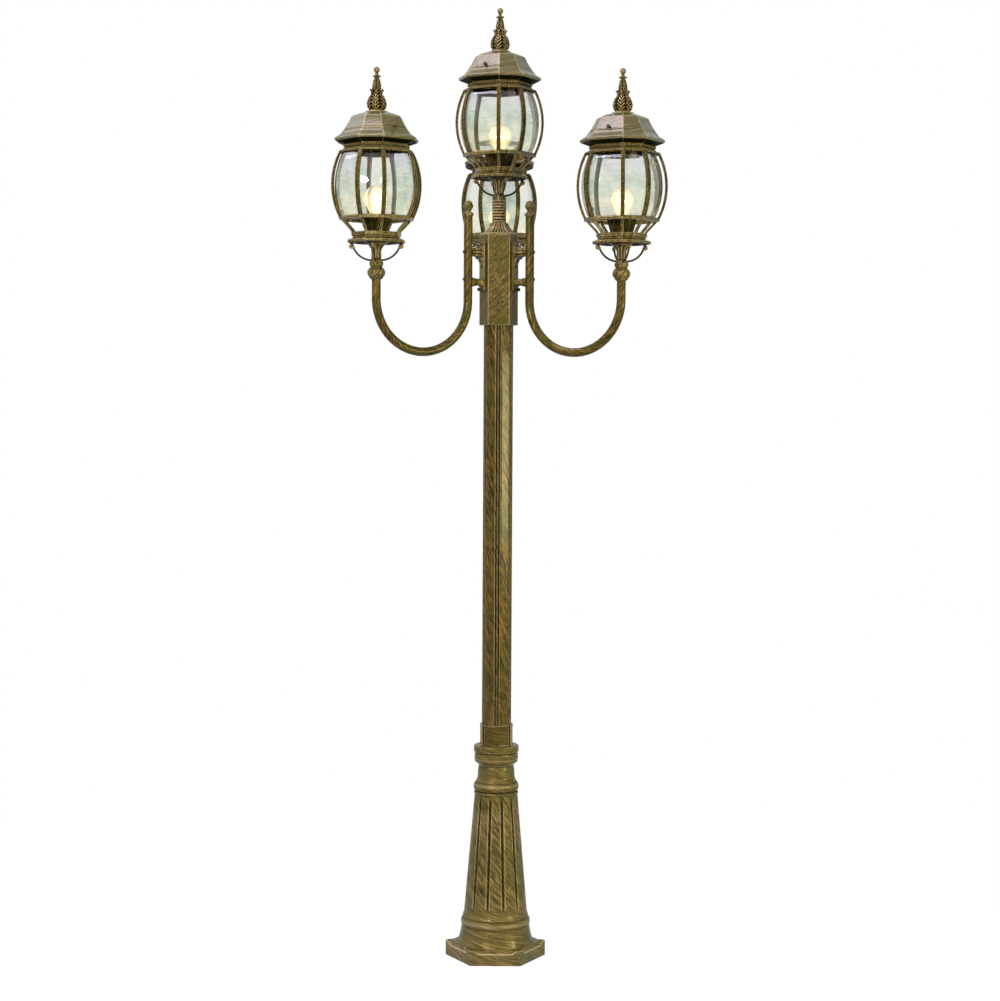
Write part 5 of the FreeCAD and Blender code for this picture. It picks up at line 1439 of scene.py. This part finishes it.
def seen_rays(tree):
    """1 for what the camera, a mirror or glass sees, 0 for light that falls on things."""
    path = tree.add("LightPath").outputs
    direct = tree.math("MAXIMUM", path["Is Camera Ray"], path["Is Glossy Ray"])
    return tree.math("MAXIMUM", direct, path["Is Transmission Ray"])


def add_floor():
    """Seen as white. Near the post it is a grey floor that takes shadows."""
    work = bmesh.new()
    bmesh.ops.create_grid(work, x_segments=1, y_segments=1, size=FLOOR_SIZE / 2)
    mesh = bpy.data.meshes.new("floor")
    work.to_mesh(mesh)
    work.free()
    floor = bpy.data.objects.new("floor", mesh)
    bpy.context.scene.collection.objects.link(floor)
    tree = material_tree("floor_white")
    away = tree.add("VectorMath", {"operation": "LENGTH"}, Vector=tree.place()).outputs["Value"]
    lit = tree.add("BsdfDiffuse", Color=(FLOOR_GREY, FLOOR_GREY, FLOOR_GREY, 1)).outputs[0]
    shine = tree.add("Emission", Strength=tree.times(seen_rays(tree), FLOOR_SHINE)).outputs[0]
    white = tree.add("Emission", Strength=seen_rays(tree)).outputs[0]
    near, mixed = tree.add("AddShader"), tree.add("MixShader", Fac=tree.span(away, FLOOR_NEAR, FLOOR_FAR))
    for socket, shader in ((near.inputs[0], lit), (near.inputs[1], shine),
                           (mixed.inputs[1], near.outputs[0]), (mixed.inputs[2], white)):
        tree.feed(socket, shader)
    mesh.materials.append(tree.finish(mixed.outputs[0]))


def add_world():
    """White where it is seen. Its light comes more from above than from below."""
    world = bpy.data.worlds.new("studio")
    bpy.context.scene.world = world
    tree = Tree(world)
    light = tree.span(tree.height(tree.place("Generated")), -0.2, 0.9, LIGHT_BELOW, LIGHT_ABOVE)
    strength = tree.math("MAXIMUM", seen_rays(tree), light)
    back = tree.add("Background", Color=(1, 1, 1, 1), Strength=strength)
    tree.finish(back.outputs[0], "OutputWorld")


def add_lamp(name, place, aim, size, power, colour):
    data = bpy.data.lights.new(name, "AREA")
    data.shape = "DISK"
    data.size = size
    data.energy = power
    data.color = colour
    lamp = bpy.data.objects.new(name, data)
    bpy.context.scene.collection.objects.link(lamp)
    lamp.location = place
    lamp.rotation_mode = "QUATERNION"
    lamp.rotation_quaternion = (Vector(aim) - Vector(place)).to_track_quat("-Z", "Y")


def add_lamps():
    """Places and sizes in metres, power in watts."""
    add_lamp("sky", (-1.5, -0.8, 4.9), (0, 0, 2.1), 1.9, 112, (0.8, 0.74, 1.0))
    add_lamp("key", (-1.6, -4.0, 2.5), (0, 0, 1.1), 0.7, 84, (1.0, 0.98, 0.9))
    add_lamp("fill", (3.5, -2.2, 1.2), (0, 0, 0.9), 0.9, 60, (1.0, 1.0, 0.58))
    add_lamp("rim", (-3.1, 1.5, 4.4), (0, 0, 2.0), 1.8, 26, (0.84, 0.8, 1.0))


add_camera()
base_casting()
pole()
base_collar()
arm_hub()
hub_cap()
top_coupler()
arms()
arm_finials()
arm_knuckles()
arm_brackets()
screws()
lanterns()
leads = frame["nodes"]["supply_leads"].data
leads.materials.clear()
leads.materials.append(LEAD)
add_floor()
add_world()
add_lamps()
